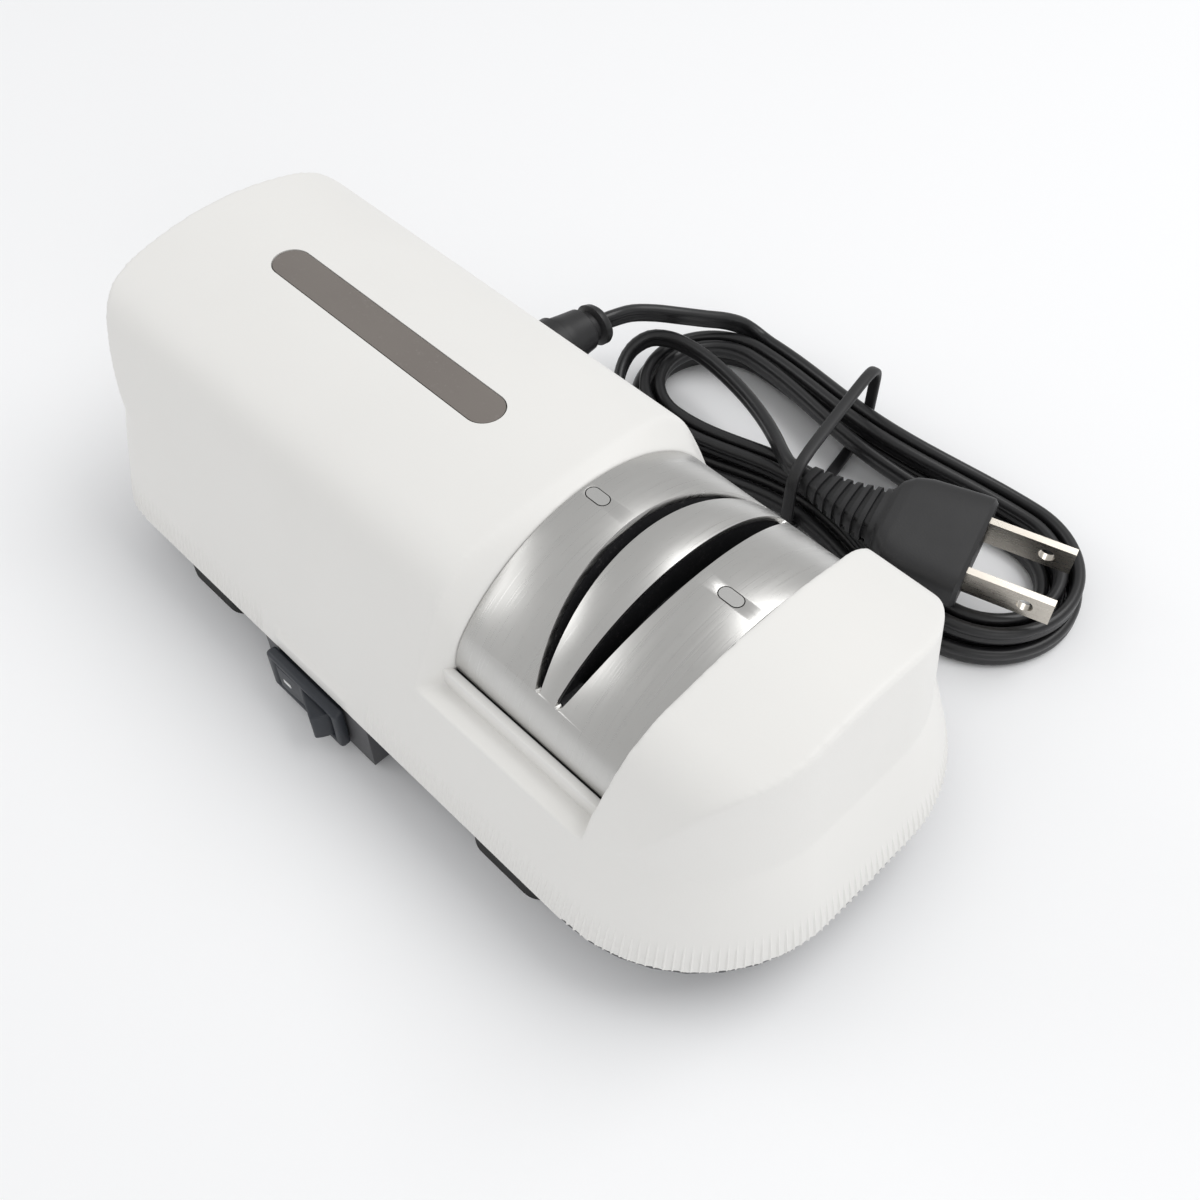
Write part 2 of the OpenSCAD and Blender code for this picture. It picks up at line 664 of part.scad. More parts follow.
module motor_shaft() {
    color("silver") turned(motor_x0 - bell_l - 2.4, coupling_x + coupling_l / 2 - 0.2 - motor_x0 + bell_l + 2.4, motor_shaft_d, 0);
}
module motor_terminals() {
    color("gold") for (s = [-1, 1]) {
        translate([motor_x0 - bell_l - 5.5, s * 11 - 2.4, axis_z + 5.9]) difference() {
            cube([7.4, 4.8, 0.8]);
            translate([1.8, 2.4, -1]) cylinder(d = 1.4, h = 3, $fn = 24);
        }
    }
}
module motor_mount() {
    color("gray") difference() {
        union() {
            translate([mount_x - mount_t, -motor_d / 2, tub_floor]) cube([mount_t, motor_d, axis_z - tub_floor + 9]);
            translate([mount_x - mount_t, -motor_d / 2, tub_floor]) cube([mount_t + mount_foot, motor_d, 2]);
        }
        turned(mount_x - mount_t - 1, mount_t + 2, neck_d + 2 * gap, 0);
        for (s = [-1, 1]) {
            translate([mount_x - mount_t - 1, s * 11, axis_z]) rotate([0, 90, 0]) cylinder(d = 3, h = 5, $fn = 24);
            translate([mount_x + mount_foot - 3.5, s * 12, tub_floor - 1]) cylinder(d = 2.4, h = 4, $fn = 24);
        }
    }
}
module motor_saddle() {
    color("#404448") difference() {
        translate([saddle_x, -saddle_w / 2, tub_floor]) cube([saddle_l, saddle_w, saddle_top - tub_floor]);
        turned(saddle_x - 1, saddle_l + 2, motor_d + 2 * gap, 0);
        for (s = [-1, 1]) {
            translate([saddle_x + saddle_l / 2, s * (saddle_w / 2 - 3.5), saddle_top - 8])
                cylinder(d = 2.4, h = 9, $fn = 24);
        }
    }
}
module motor_strap() {
    color("silver") difference() {
        union() {
            intersection() {
                turned(saddle_x + 1, saddle_l - 2, motor_d + 2 * gap + 2 * strap_t, 0);
                translate([saddle_x, -saddle_w, saddle_top]) cube([saddle_l, 2 * saddle_w, motor_d]);
            }
            translate([saddle_x + 1, -saddle_w / 2, saddle_top]) cube([saddle_l - 2, saddle_w, strap_t]);
        }
        turned(saddle_x - 1, saddle_l + 2, motor_d + 2 * gap, 0);
        for (s = [-1, 1]) {
            translate([saddle_x + saddle_l / 2, s * (saddle_w / 2 - 3.5), saddle_top - 1])
                cylinder(d = 2.6, h = 4, $fn = 24);
        }
    }
}

// ---- Rectifier board ----
board_x = saddle_x + saddle_l + 3;
board_l = 26;
board_w = 13;
board_y = tub_w / 2 - wall - board_w - 1.1;
board_z = tub_floor + 4;

module rectifier_board() {
    color("darkgreen") difference() {
        translate([board_x, board_y, board_z]) cube([board_l, board_w, 1.6]);
        for (x = [2, board_l - 2], y = [2, board_w - 2]) {
            translate([board_x + x, board_y + y, board_z - 1]) cylinder(d = 2.2, h = 4, $fn = 24);
        }
    }
}
module board_parts() {
    top = board_z + 1.6;
    color("steelblue") {
        translate([board_x + 13, board_y + board_w - 5, top]) cylinder(d = 8, h = 10);
        for (i = [0:3]) {
            translate([board_x + 2 + 1.7 * i, board_y + 5, top]) cube([1, 3.5, 1.6]);
        }
        translate([board_x + 18.5, board_y + 4, top]) cube([4, 5, 5]);
    }
}

// ---- Lower housing ----
switch_z = lip_z - 0.2 - switch_h / 2;
box_x0 = switch_x - switch_l / 2 - 3;
box_x1 = switch_x + switch_l / 2 + 6;
box_z = 1;
pocket_l = switch_l - 3;
switch_depth = 7;
tab_h = 3.8;
body_z0 = switch_z - rocker_h / 2 - 1.2;
body_z1 = switch_z + rocker_h / 2 + 1;

module lower_housing() {
    color("#4a4c50") difference() {
        union() {
            difference() {
                union() {
                    translate([0, 0, foot_h]) linear_extrude(lip_z - foot_h) tub_plan(0);
                    translate([0, 0, lip_z - rim_t]) linear_extrude(rim_t) rim_plan();
                    translate([box_x0, -half_w + 0.2, box_z])
                        cube([box_x1 - box_x0, switch_depth + 1.6, lip_z - box_z]);
                }
                translate([0, 0, tub_floor]) linear_extrude(lip_z) tub_plan(wall);
                // Recesses for the feet
                for (p = foot_xy, s = [-1, 1]) translate([p[0], s * p[1], -1]) foot_form(foot_h + foot_in + 1.1, 0.1);
            }
            for (p = boss_xy, s = [-1, 1]) {
                translate([p[0], s * p[1], foot_h]) cylinder(d = post_d, h = lip_z - foot_h);
            }
            for (x = [2, board_l - 2], y = [2, board_w - 2]) {
                translate([board_x + x, board_y + y, tub_floor - 1]) cylinder(d = 3.6, h = board_z - tub_floor + 1, $fn = 24);
            }
        }
        for (p = boss_xy, s = [-1, 1]) {
            translate([p[0], s * p[1], foot_h - 1]) {
                cylinder(d = screw_d + 0.4, h = lip_z, $fn = 24);
                cylinder(d = screw_d + 3.2, h = 4.4, $fn = 24);
            }
        }
        translate([switch_x - pocket_l / 2 - gap, -half_w - 1, body_z0 - gap])
            cube([pocket_l + 2 * gap, switch_depth + 1 + gap, lip_z]);
        translate([switch_x - 6.5, -half_w, switch_z - tab_h / 2 - gap]) cube([13, switch_depth + 3, tab_h + 2 * gap]);
        for (x = [rear_bracket_x, front_bracket_x], s = [-1, 1]) {
            screw_hole(x + bracket_foot - 2.2, s * (bracket_w / 2 - 4));
        }
        for (s = [-1, 1]) screw_hole(mount_x + mount_foot - 3.5, s * 12);
    }
}
module screw_hole(x, y) {
    translate([x, y, tub_floor - 1.8]) cylinder(d = 2.4, h = 3, $fn = 24);
}
// Plan of the rim under the housing's lower edge
module rim_plan() {
    polygon([for (p = level(lip_z, 0.6, 10)) [p[0], p[1]]]);
}

// ---- Feet ----
module foot_form(h, g) {
    r = foot_w / 2 + g;
    linear_extrude(h) {
        for (s = [-1, 1]) translate([s * (foot_l - foot_w) / 2, 0]) circle(r, $fn = 32);
        translate([-(foot_l - foot_w) / 2, -r]) square([foot_l - foot_w, 2 * r]);
    }
}
module feet() {
    color("#1c1c1c") for (p = foot_xy, s = [-1, 1]) translate([p[0], s * p[1], 0]) foot_form(foot_h + foot_in, 0);
}

// ---- Switch ----
pivot_y = -half_w + 0.4;
frame_y = -half_w - switch_proud;
hollow_r = rocker_r + 0.3;
tip_a = 30;

module switch_body() {
    color("#24262c") difference() {
        union() {
            translate([switch_x - switch_l / 2, frame_y, switch_z - switch_h / 2])
                cube([switch_l, switch_proud, switch_h]);
            translate([switch_x - pocket_l / 2, -half_w - e, body_z0])
                cube([pocket_l, switch_depth + e, body_z1 - body_z0]);
        }
        translate([switch_x - hollow_r, frame_y - 1, switch_z - rocker_h / 2 - gap])
            cube([2 * hollow_r, -frame_y + pivot_y + 4.4, rocker_h + 2 * gap]);
        translate([switch_x, pivot_y, switch_z - rocker_h / 2 - 0.9])
            cylinder(d = pin_d + 2 * pin_fit, h = rocker_h + 1.8, $fn = 32);
    }
}
// The rocker in the middle of its swing: two faces that meet in a shallow valley, ends round about the pin
module rocker_profile() {
    a = rocker_swing / 2;
    tip = [rocker_r * cos(tip_a), -rocker_r * sin(tip_a)];
    valley = tip[1] + tip[0] * tan(a);
    intersection() {
        circle(rocker_r, $fn = 64);
        polygon([[0, valley], [2 * tip[0], valley - 2 * tip[0] * tan(a)], [2 * tip[0], 0.2], [4, 1.4], [-4, 1.4],
            [-2 * tip[0], 0.2], [-2 * tip[0], valley - 2 * tip[0] * tan(a)]]);
    }
}
module switch_rocker() {
    color("#1a1c22") translate([switch_x, pivot_y, 0]) rotate([0, 0, -rocker_swing / 2]) {
        translate([0, 0, switch_z - rocker_h / 2]) linear_extrude(rocker_h) rocker_profile();
        translate([0, 0, switch_z - rocker_h / 2 - 0.8]) cylinder(d = pin_d, h = rocker_h + 1.6, $fn = 32);
    }
}
module switch_terminals() {
    color("gold") for (x = [-5, 0, 5]) {
        translate([switch_x + x - 0.4, switch_depth - half_w, switch_z - tab_h / 2]) difference() {
            cube([0.8, 6.5, tab_h]);
            translate([-1, 4.4, tab_h / 2]) rotate([0, 90, 0]) cylinder(d = 1.4, h = 3, $fn = 24);
        }
    }
}

// ---- Housing screws ----
module housing_screws() {
    color("silver") for (p = boss_xy, s = [-1, 1]) {
        translate([p[0], s * p[1], foot_h + 1.2]) {
            difference() {
                cylinder(d = screw_d + 2.4, h = 2.2, $fn = 24);
                translate([-0.4, -2, -1]) cube([0.8, 4, 2]);
                translate([-2, -0.4, -1]) cube([4, 0.8, 2]);
            }
            translate([0, 0, 2.2 - e]) cylinder(d = screw_d - 0.5, h = 16, $fn = 24);
        }
    }
}

// ---- Cord gland and strain relief ----
gland_face = half_w + 5;
module cord_gland() {
    color("#1e1e20") translate([gland_x, gland_face, gland_z]) rotate([90, 0, 0]) difference() {
        union() {
            cylinder(d = gland_d + 4, h = gland_face - gland_out);
            cylinder(d = gland_d, h = gland_face - gland_in + 5);
        }
        translate([-cord_w / 2, -cord_t / 2, 4]) cube([cord_w, cord_t, 30]);
    }
}
module gland_nut() {
    color("#2a2a2c") translate([gland_x, gland_in, gland_z]) rotate([90, 0, 0]) difference() {
        cylinder(d = nut_d, h = 3.4, $fn = 6);
        translate([0, 0, -1]) cylinder(d = gland_d + 2 * gap, h = 6);
    }
}

// How far the corners of a ring stand outside the cord's own half sizes
side_out = 1.12;
top_out = 1.06;

// Rings of a tube: one ring at each point of a route, square to it, with its own half sizes [across, upright]
function unit(v) = v / norm(v);
function heading(route, i, closed) =
    let (n = len(route), a = closed ? (i + n - 1) % n : max(0, i - 1), b = closed ? (i + 1) % n : min(n - 1, i + 1))
    unit(route[b] - route[a]);
function ring(p, t, half, sides) =
    let (side = unit(cross([0, 0, 1], t)), up = cross(t, side))
    [for (k = [0:sides - 1]) let (a = 360 * (k + 0.5) / sides)
        p + side * half[0] * sin(a) * side_out + up * half[1] * cos(a) * top_out];
// Tube along an open route; halves gives the half sizes at each point
module tube(route, halves, sides) {
    n = len(route);
    rings = [for (i = [0:n - 1]) ring(route[i], heading(route, i, false), halves[i], sides)];
    loft(rings);
}

relief_route = [[-38, 46, 21.5], [-38, 48.5, 21.5], [-37.9, 51, 21.5], [-37.7, 53.5, 21.5], [-37.7, 53.6, 21.5],
    [-37.4, 55.4, 21.4], [-37.3, 55.6, 21.4], [-36.9, 57.4, 21.3]];
relief_r = [5.6, 5.2, 4.9, 4.6, 3.9, 3.8, 4.8, 4.6];
module strain_relief() {
    color("#1e1e20") tube(relief_route, [for (r = relief_r) [r, r]], 12);
}

// ---- Mains cord ----
cord_half = [cord_t / 2, cord_w / 2];
hank_c = [20.5, 73];
floor_z = cord_w / 2 + 0.2;
layer_h = cord_w + 0.45;
tie_d = 2;
waist_lift = tie_d + 0.8;
steps = 2;
turns = 2 * steps + 1;
fold_share = PI * fold_r / (2 * (run_l + PI * fold_r));
run_share = 0.5 - fold_share;
hank_turns = turns - fold_share;

// How many steps a strand lies inside the outermost one after t turns: it moves in on the upper layer, and
// out again on the lower one
function inset_at(t) =
    let (k = floor(t), f = t - k, ramp = f < run_share ? 0 : (f - run_share) / (1 - run_share))
    k < steps ? k + ramp : k == steps && f < run_share ? steps : 2 * steps - k - ramp;
// Height of a strand after t turns: it comes down a layer along the run that starts at turn `steps`
function height_at(t) =
    let (f = min(1, max(0, (t - steps) / run_share)))
    floor_z + layer_h * (1 + cos(180 * f)) / 2;
// Point of the hank after t turns, round its own middle
function hank_point(t) =
    let (f = t - floor(t), r = fold_r - strand_step * inset_at(t), h = run_l / 2, far = f < 0.5,
        g = far ? f : f - 0.5, run = g < run_share, s = far ? 1 : -1,
        a = 180 * (g - run_share) / fold_share, x = run ? -h + run_l * g / run_share : h + r * sin(a),
        nip = run ? waist * (1 + cos(180 * x / h)) / 2 : 0, y = run ? r - nip : r * cos(a))
    [hank_c[0] + s * x, hank_c[1] + s * y, height_at(t) + (run ? waist_lift * (1 + cos(180 * x / h)) / 2 : 0)];

rings_a_turn = 24;
hank_rings = round(hank_turns * rings_a_turn);
hank_route = [for (i = [0:hank_rings]) hank_point(hank_turns * i / hank_rings)];

// Least gap of the hank to itself, between its six-sided strands: they are clear when they are further apart
// sideways than their corners, or further apart upright than their flats. Points less than half a turn apart along the cord aren't compared.
function strand_gap(p, q) =
    let (d = p - q) max(norm([d[0], d[1]]) - cord_t * side_out, abs(d[2]) - cord_w * top_out * cos(30));
fine = [for (i = [0:2 * hank_rings]) hank_point(hank_turns * i / (2 * hank_rings))];
least_gap = min([for (i = [0:len(fine) - 1], j = [i + rings_a_turn:len(fine) - 1])
    if (abs(fine[i][0] - fine[j][0]) < 6 && abs(fine[i][1] - fine[j][1]) < 6) strand_gap(fine[i], fine[j])]);
function route_length(r) = [for (i = [1:len(r) - 1]) norm(r[i] - r[i - 1])] * [for (i = [1:len(r) - 1]) 1];
echo(hank_least_gap = least_gap, hank_length = route_length(fine), ends = [fine[0], fine[len(fine) - 1]]);

// Place of the plug: the middle between its blades, its roll and its turn
plug_at = [57, 66.4, 16];
plug_roll = 6;
plug_yaw = 17;
sleeve_l = 17;
sleeve_x0 = -plug_l - sleeve_l;
sleeve_start = plug_point([sleeve_x0, 0, 0]);
sleeve_dir = unit(plug_point([sleeve_x0 + 0.1, 0, 0]) - sleeve_start);

// Both stretches leave the strain relief and the hank square to the faces that they meet
relief_end = relief_route[len(relief_route) - 1];
relief_dir = unit(relief_end - relief_route[len(relief_route) - 2]);
hank_in = unit(hank_route[1] - hank_route[0]);
hank_out = unit(hank_route[hank_rings] - hank_route[hank_rings - 1]);
lead_route = [relief_end, relief_end + 4 * relief_dir, [-35.4, 66, 19.9], [-33.2, 70.8, 18.4], [-30, 76, 16.4],
    [-27, 81.2, 14.2], [-24.6, 85.8, 12.2], [-22.4, 90, 9.2], [-18.9, 91.9, 6.9],
    hank_route[0] - 1.2 * hank_in, hank_route[0]];
tail_route = [hank_route[hank_rings], hank_route[hank_rings] + 1.2 * hank_out, [-19.9, 52, 2.3],
    [-25.2, 53.2, 3.6], [-30, 56.4, 5.6], [-33.6, 61, 7.8], [-34.6, 65.4, 10.2], [-33, 69.4, 12],
    [-29.2, 72, 12.5], [-23.6, 73, 12.6], [-17, 72.8, 12.6], [-10, 71.6, 12.6],
    [-3, 69.6, 12.8], [3.5, 66.8, 13.4], [9, 63.6, 14.4], [13.2, 60.6, 15.6], sleeve_start - 4.4 * sleeve_dir, sleeve_start];
module cord_lead() {
    color("#18181a") tube(lead_route, [for (p = lead_route) cord_half], 8);
}
module cord_hank() {
    color("#1b1b1d") tube(hank_route, [for (p = hank_route) cord_half], 6);
}
module cord_tail() {
    color("#18181a") tube(tail_route, [for (p = tail_route) cord_half], 8);
}

// ---- Tie round the waist of the hank ----
tie_x = 17;
tie_slant = 12;
tie_hw = fold_r - waist + 5.2;
tie_round = 0.36;
tie_top = 22.4;
tie_y = hank_c[1] - 0.4;
tie_route = [for (k = [0:31]) let (a = 360 * k / 32, c = cos(a), s = sin(a), m = tie_top / 2)
    [tie_hw * sign(c) * pow(abs(c), tie_round), m + (m - tie_d / 2 - 0.05) * sign(s) * pow(abs(s), tie_round)]];
module cord_tie() {
    n = len(tie_route);
    rings = [for (i = [0:n - 1])
        let (p = tie_route[i], t = unit(tie_route[(i + 1) % n] - tie_route[(i + n - 1) % n]))
        [for (k = [0:5]) let (a = 60 * k) [tie_d / 2 * sin(a), p[0] - t[1] * tie_d / 2 * cos(a), p[1] + t[0] * tie_d / 2 * cos(a)]]];
    points = [for (r = rings) each r];
    faces = [for (i = [0:n - 1], j = [0:5])
        let (a = i * 6, b = ((i + 1) % n) * 6, k = (j + 1) % 6)
        each [[a + j, b + j, a + k], [a + k, b + j, b + k]]];
    color("#1a1a1c") translate([tie_x, tie_y, 0]) rotate([0, 0, tie_slant]) polyhedron(points, faces);
}

// ---- Plug ----
module plug_place() {
    translate(plug_at) rotate([plug_roll, 0, plug_yaw]) children();
}
// Sideways bend of the sleeve towards the cord, at x along the plug, so that it meets the cord along X
function sleeve_bend(x) = x > -plug_l ? 0 : tan(plug_yaw) / (2 * sleeve_l) * pow(x + plug_l, 2);
function sleeve_turn(x) = x > -plug_l ? 0 : atan(tan(plug_yaw) / sleeve_l * (x + plug_l));
// Where a point of the plug lies
function plug_point(p) =
    let (y = p[1] + sleeve_bend(p[0]), c = cos(plug_yaw), s = sin(plug_yaw), cr = cos(plug_roll), sr = sin(plug_roll))
    plug_at + [p[0] * c - y * cr * s, p[0] * s + y * cr * c, y * sr];
// Half sizes of the plug along its length, from its cord to its face
plug_form = [[-plug_l - sleeve_l, 2.6, 2.6], [-plug_l - sleeve_l * 0.75, 3.2, 3.4], [-plug_l - sleeve_l / 2, 3.6, 4.2],
    [-plug_l - sleeve_l / 4, 4, 5.2], [-plug_l, 4.3, 6.2], [-plug_l + 1, plug_t / 2, 8.6],
    [-plug_l + 5, plug_t / 2, plug_w / 2 - 1.2], [-3, plug_t / 2, plug_w / 2], [0, plug_t / 2 - 0.5, plug_w / 2 - 0.8]];
function plug_ring(x, hz, hy) =
    [for (k = [0:31]) let (a = 360 * k / 32, c = cos(a), s = sin(a), w = hy * sign(c) * pow(abs(c), 0.5))
        [x - w * sin(sleeve_turn(x)), sleeve_bend(x) + w * cos(sleeve_turn(x)), hz * sign(s) * pow(abs(s), 0.5)]];
module plug_body() {
    color("#1c1c1e") plug_place() difference() {
        loft([for (f = plug_form) plug_ring(f[0], f[1], f[2])]);
        for (s = [-1, 1]) translate([-9.5, s * blade_gap / 2 - 0.78, -3.21]) cube([10, 1.56, 6.42]);
    }
}
module plug_blades() {
    color("silver") plug_place() for (s = [-1, 1]) {
        translate([-9, s * blade_gap / 2 - 0.75, -3.175]) difference() {
            cube([blade_l + 9, 1.5, 6.35]);
            translate([9 + 11.9, 3, 3.175]) rotate([90, 0, 0]) cylinder(d = 3.2, h = 5, $fn = 24);
        }
    }
}

upper_housing();
lower_housing();
feet();
top_strip();
steel_cover();
cover_tabs();
slot_guide();
grinding_wheel();
wheel_flanges();
spindle_shaft();
shaft_clips();
shaft_coupling();
rear_bracket();
front_bracket();
bearing_bushes();
bracket_screws();
motor_can();
motor_end_bell();
motor_shaft();
motor_terminals();
motor_mount();
motor_saddle();
motor_strap();
rectifier_board();
board_parts();
switch_body();
switch_rocker();
switch_terminals();
housing_screws();
cord_gland();
gland_nut();
strain_relief();
cord_lead();
cord_hank();
cord_tail();
cord_tie();
plug_body();
plug_blades();
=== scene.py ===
"""Looks of the electric knife sharpener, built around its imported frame."""

import logging
import math
from dataclasses import dataclass
from enum import Enum
from typing import Optional, Sequence

import bmesh
import bpy
import numpy as np
from mathutils import Matrix, Vector


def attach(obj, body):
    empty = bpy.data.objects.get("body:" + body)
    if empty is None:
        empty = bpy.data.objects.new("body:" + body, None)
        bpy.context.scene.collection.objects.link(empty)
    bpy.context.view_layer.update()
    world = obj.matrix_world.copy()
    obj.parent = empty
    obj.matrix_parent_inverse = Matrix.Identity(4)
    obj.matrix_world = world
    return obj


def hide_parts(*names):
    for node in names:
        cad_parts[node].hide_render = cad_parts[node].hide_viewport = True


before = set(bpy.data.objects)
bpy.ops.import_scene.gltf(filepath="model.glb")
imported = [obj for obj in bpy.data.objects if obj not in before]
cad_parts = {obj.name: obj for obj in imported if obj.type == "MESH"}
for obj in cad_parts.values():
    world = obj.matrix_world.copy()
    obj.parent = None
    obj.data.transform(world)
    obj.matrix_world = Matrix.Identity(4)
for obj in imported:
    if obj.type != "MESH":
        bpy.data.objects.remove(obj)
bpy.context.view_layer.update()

MM = 0.001
LOG = logging.getLogger("sharpener")
MIX_A, MIX_B, MIX_RESULT = 6, 7, 2  # sockets of a Mix node that mixes colours
Point = tuple[float, float, float]
Flat = tuple[float, float]
Colour = tuple[float, float, float]
Piece = bpy.types.Object
Material = bpy.types.Material
Socket = bpy.types.NodeSocket
NodeTree = bpy.types.NodeTree


class Body(Enum):
    """Bodies of the frame that a piece can ride on."""

    ROOT = "root"
    ROCKER = "rocker"


class Cut(Enum):
    """Ways to combine two solids."""

    UNION = "UNION"
    DIFFERENCE = "DIFFERENCE"


# ---- Meshes ----


def new_object(name: str, mesh: bpy.types.Mesh) -> Piece:
    """Links a mesh to the scene as a new object.

    Args:
        name: name of the piece.
        mesh: its mesh, in metres.

    Returns:
        The new object.
    """
    made = bpy.data.objects.new(name, mesh)
    bpy.context.scene.collection.objects.link(made)
    return made


def from_faces(name: str, points: Sequence[Sequence[float]], faces: Sequence[Sequence[int]]) -> Piece:
    """Makes an object of points in millimetres and faces.

    Args:
        name: name of the piece.
        points: corner points, in millimetres.
        faces: corners of each face.

    Returns:
        The new object, with its faces turned outwards.
    """
    mesh = bpy.data.meshes.new(name)
    mesh.from_pydata([tuple(c * MM for c in p) for p in points], [], [tuple(f) for f in faces])
    shape = bmesh.new()
    shape.from_mesh(mesh)
    bmesh.ops.recalc_face_normals(shape, faces=shape.faces)
    shape.to_mesh(mesh)
    shape.free()
    return new_object(name, mesh)


def loft(name: str, rings: Sequence[Sequence[Sequence[float]]], closed: bool = False) -> Piece:
    """Makes a solid between rings of equal length.

    Args:
        name: name of the piece.
        rings: closed outlines, in millimetres.
        closed: whether the last ring joins the first one, so that there are no ends.

    Returns:
        The new object.
    """
    n, m = len(rings[0]), len(rings)
    points = [p for ring in rings for p in ring]
    faces = []
    for i in range(m if closed else m - 1):
        a, b = i * n, ((i + 1) % m) * n
        for j in range(n):
            k = (j + 1) % n
            faces.append((a + j, a + k, b + k, b + j))
    if not closed:
        faces += [tuple(range(n - 1, -1, -1)), tuple(range((m - 1) * n, m * n))]
    return from_faces(name, points, faces)


def prism_x(name: str, outline: Sequence[Sequence[float]], x0: float, x1: float) -> Piece:
    """Makes a prism of an outline in YZ between two places along X."""
    return loft(name, [[(x, p[0], p[1]) for p in outline] for x in (x0, x1)])


def prism_z(name: str, outline: Sequence[Sequence[float]], z0: float, z1: float) -> Piece:
    """Makes a prism of an outline in XY between two heights."""
    return loft(name, [[(p[0], p[1], z) for p in outline] for z in (z0, z1)])


def prism_y(name: str, outline: Sequence[Sequence[float]], y0: float, y1: float) -> Piece:
    """Makes a prism of an outline in XZ between two places along Y."""
    return loft(name, [[(p[0], y, p[1]) for p in outline] for y in (y0, y1)])


def block(name: str, low: Point, high: Point) -> Piece:
    """Makes a box between two corners, in millimetres."""
    outline = [(low[1], low[2]), (high[1], low[2]), (high[1], high[2]), (low[1], high[2])]
    return prism_x(name, outline, low[0], high[0])


def pill(x0: float, x1: float, r: float, sides: int) -> list[Flat]:
    """Outline in XY of a bar along X with round ends.

    Args:
        x0: centre of its rear end.
        x1: centre of its front end.
        r: radius of the ends.
        sides: number of points.

    Returns:
        The outline.
    """
    outline = []
    for k in range(sides):
        a = 2 * math.pi * (k + 0.5) / sides
        outline.append(((x1 if math.cos(a) > 0 else x0) + r * math.cos(a), r * math.sin(a)))
    return outline


def squared(value: float, power: float) -> float:
    """Raises the size of a value to a power and keeps its sign."""
    return math.copysign(abs(value) ** power, value)


def hull(name: str, points: Sequence[Sequence[float]]) -> Piece:
    """Makes the convex solid round some points.

    Args:
        name: name of the piece.
        points: the points, in millimetres.

    Returns:
        The new object.
    """
    shape = bmesh.new()
    for p in points:
        shape.verts.new([c * MM for c in p])
    made = bmesh.ops.convex_hull(shape, input=shape.verts)
    loose = [g for g in made["geom_interior"] if isinstance(g, bmesh.types.BMVert)]
    bmesh.ops.delete(shape, geom=loose, context="VERTS")
    mesh = bpy.data.meshes.new(name)
    shape.to_mesh(mesh)
    shape.free()
    return new_object(name, mesh)


def bake_modifiers(piece: Piece) -> None:
    """Replaces a piece's mesh by the one that its modifiers make.

    Args:
        piece: the piece, which loses its modifiers.
    """
    bpy.context.view_layer.update()
    graph = bpy.context.evaluated_depsgraph_get()
    mesh = bpy.data.meshes.new_from_object(piece.evaluated_get(graph))
    old = piece.data
    piece.modifiers.clear()
    piece.data = mesh
    bpy.data.meshes.remove(old)


def combine(piece: Piece, tool: Piece, cut: Cut, solver: str = "EXACT") -> Piece:
    """Joins a solid to another or cuts it by another, which is used up.

    Args:
        piece: the solid that is changed.
        tool: the solid that changes it.
        cut: the way in which they are combined.
        solver: the boolean solver; MANIFOLD is quick on fine meshes.

    Returns:
        The changed piece.
    """
    change = piece.modifiers.new("cut", "BOOLEAN")
    change.operation = cut.value
    change.solver = solver
    change.object = tool
    bake_modifiers(piece)
    mesh = tool.data
    bpy.data.objects.remove(tool)
    bpy.data.meshes.remove(mesh)
    return piece


def round_edges(piece: Piece, width: float, segments: int = 3, angle: float = 35.0) -> None:
    """Rounds a piece's edges.

    Args:
        piece: the piece.
        width: width of the rounding, in millimetres.
        segments: number of steps round the edge.
        angle: least angle between two faces, in degrees, of an edge that is rounded.
    """
    bevel = piece.modifiers.new("round", "BEVEL")
    bevel.width = width * MM
    bevel.segments = segments
    bevel.limit_method = "ANGLE"
    bevel.angle_limit = math.radians(angle)
    bevel.harden_normals = False
    bake_modifiers(piece)


def smooth(piece: Piece, angle: float = 35.0) -> None:
    """Shades a piece smooth, with sharp edges above an angle in degrees."""
    piece.data.shade_smooth()
    piece.data.set_sharp_from_angle(angle=math.radians(angle))


def finish_piece(piece: Piece, material: Material, body: Body) -> Piece:
    """Dresses a piece, makes it ride on a body and reports it.

    Args:
        piece: the piece.
        material: its material.
        body: the body that carries it.

    Returns:
        The piece.
    """
    piece.data.materials.clear()
    piece.data.materials.append(material)
    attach(piece, body.value)
    LOG.info("%s: %d faces, rides on %s", piece.name, len(piece.data.polygons), body.value)
    return piece


# ---- Shader node groups ----


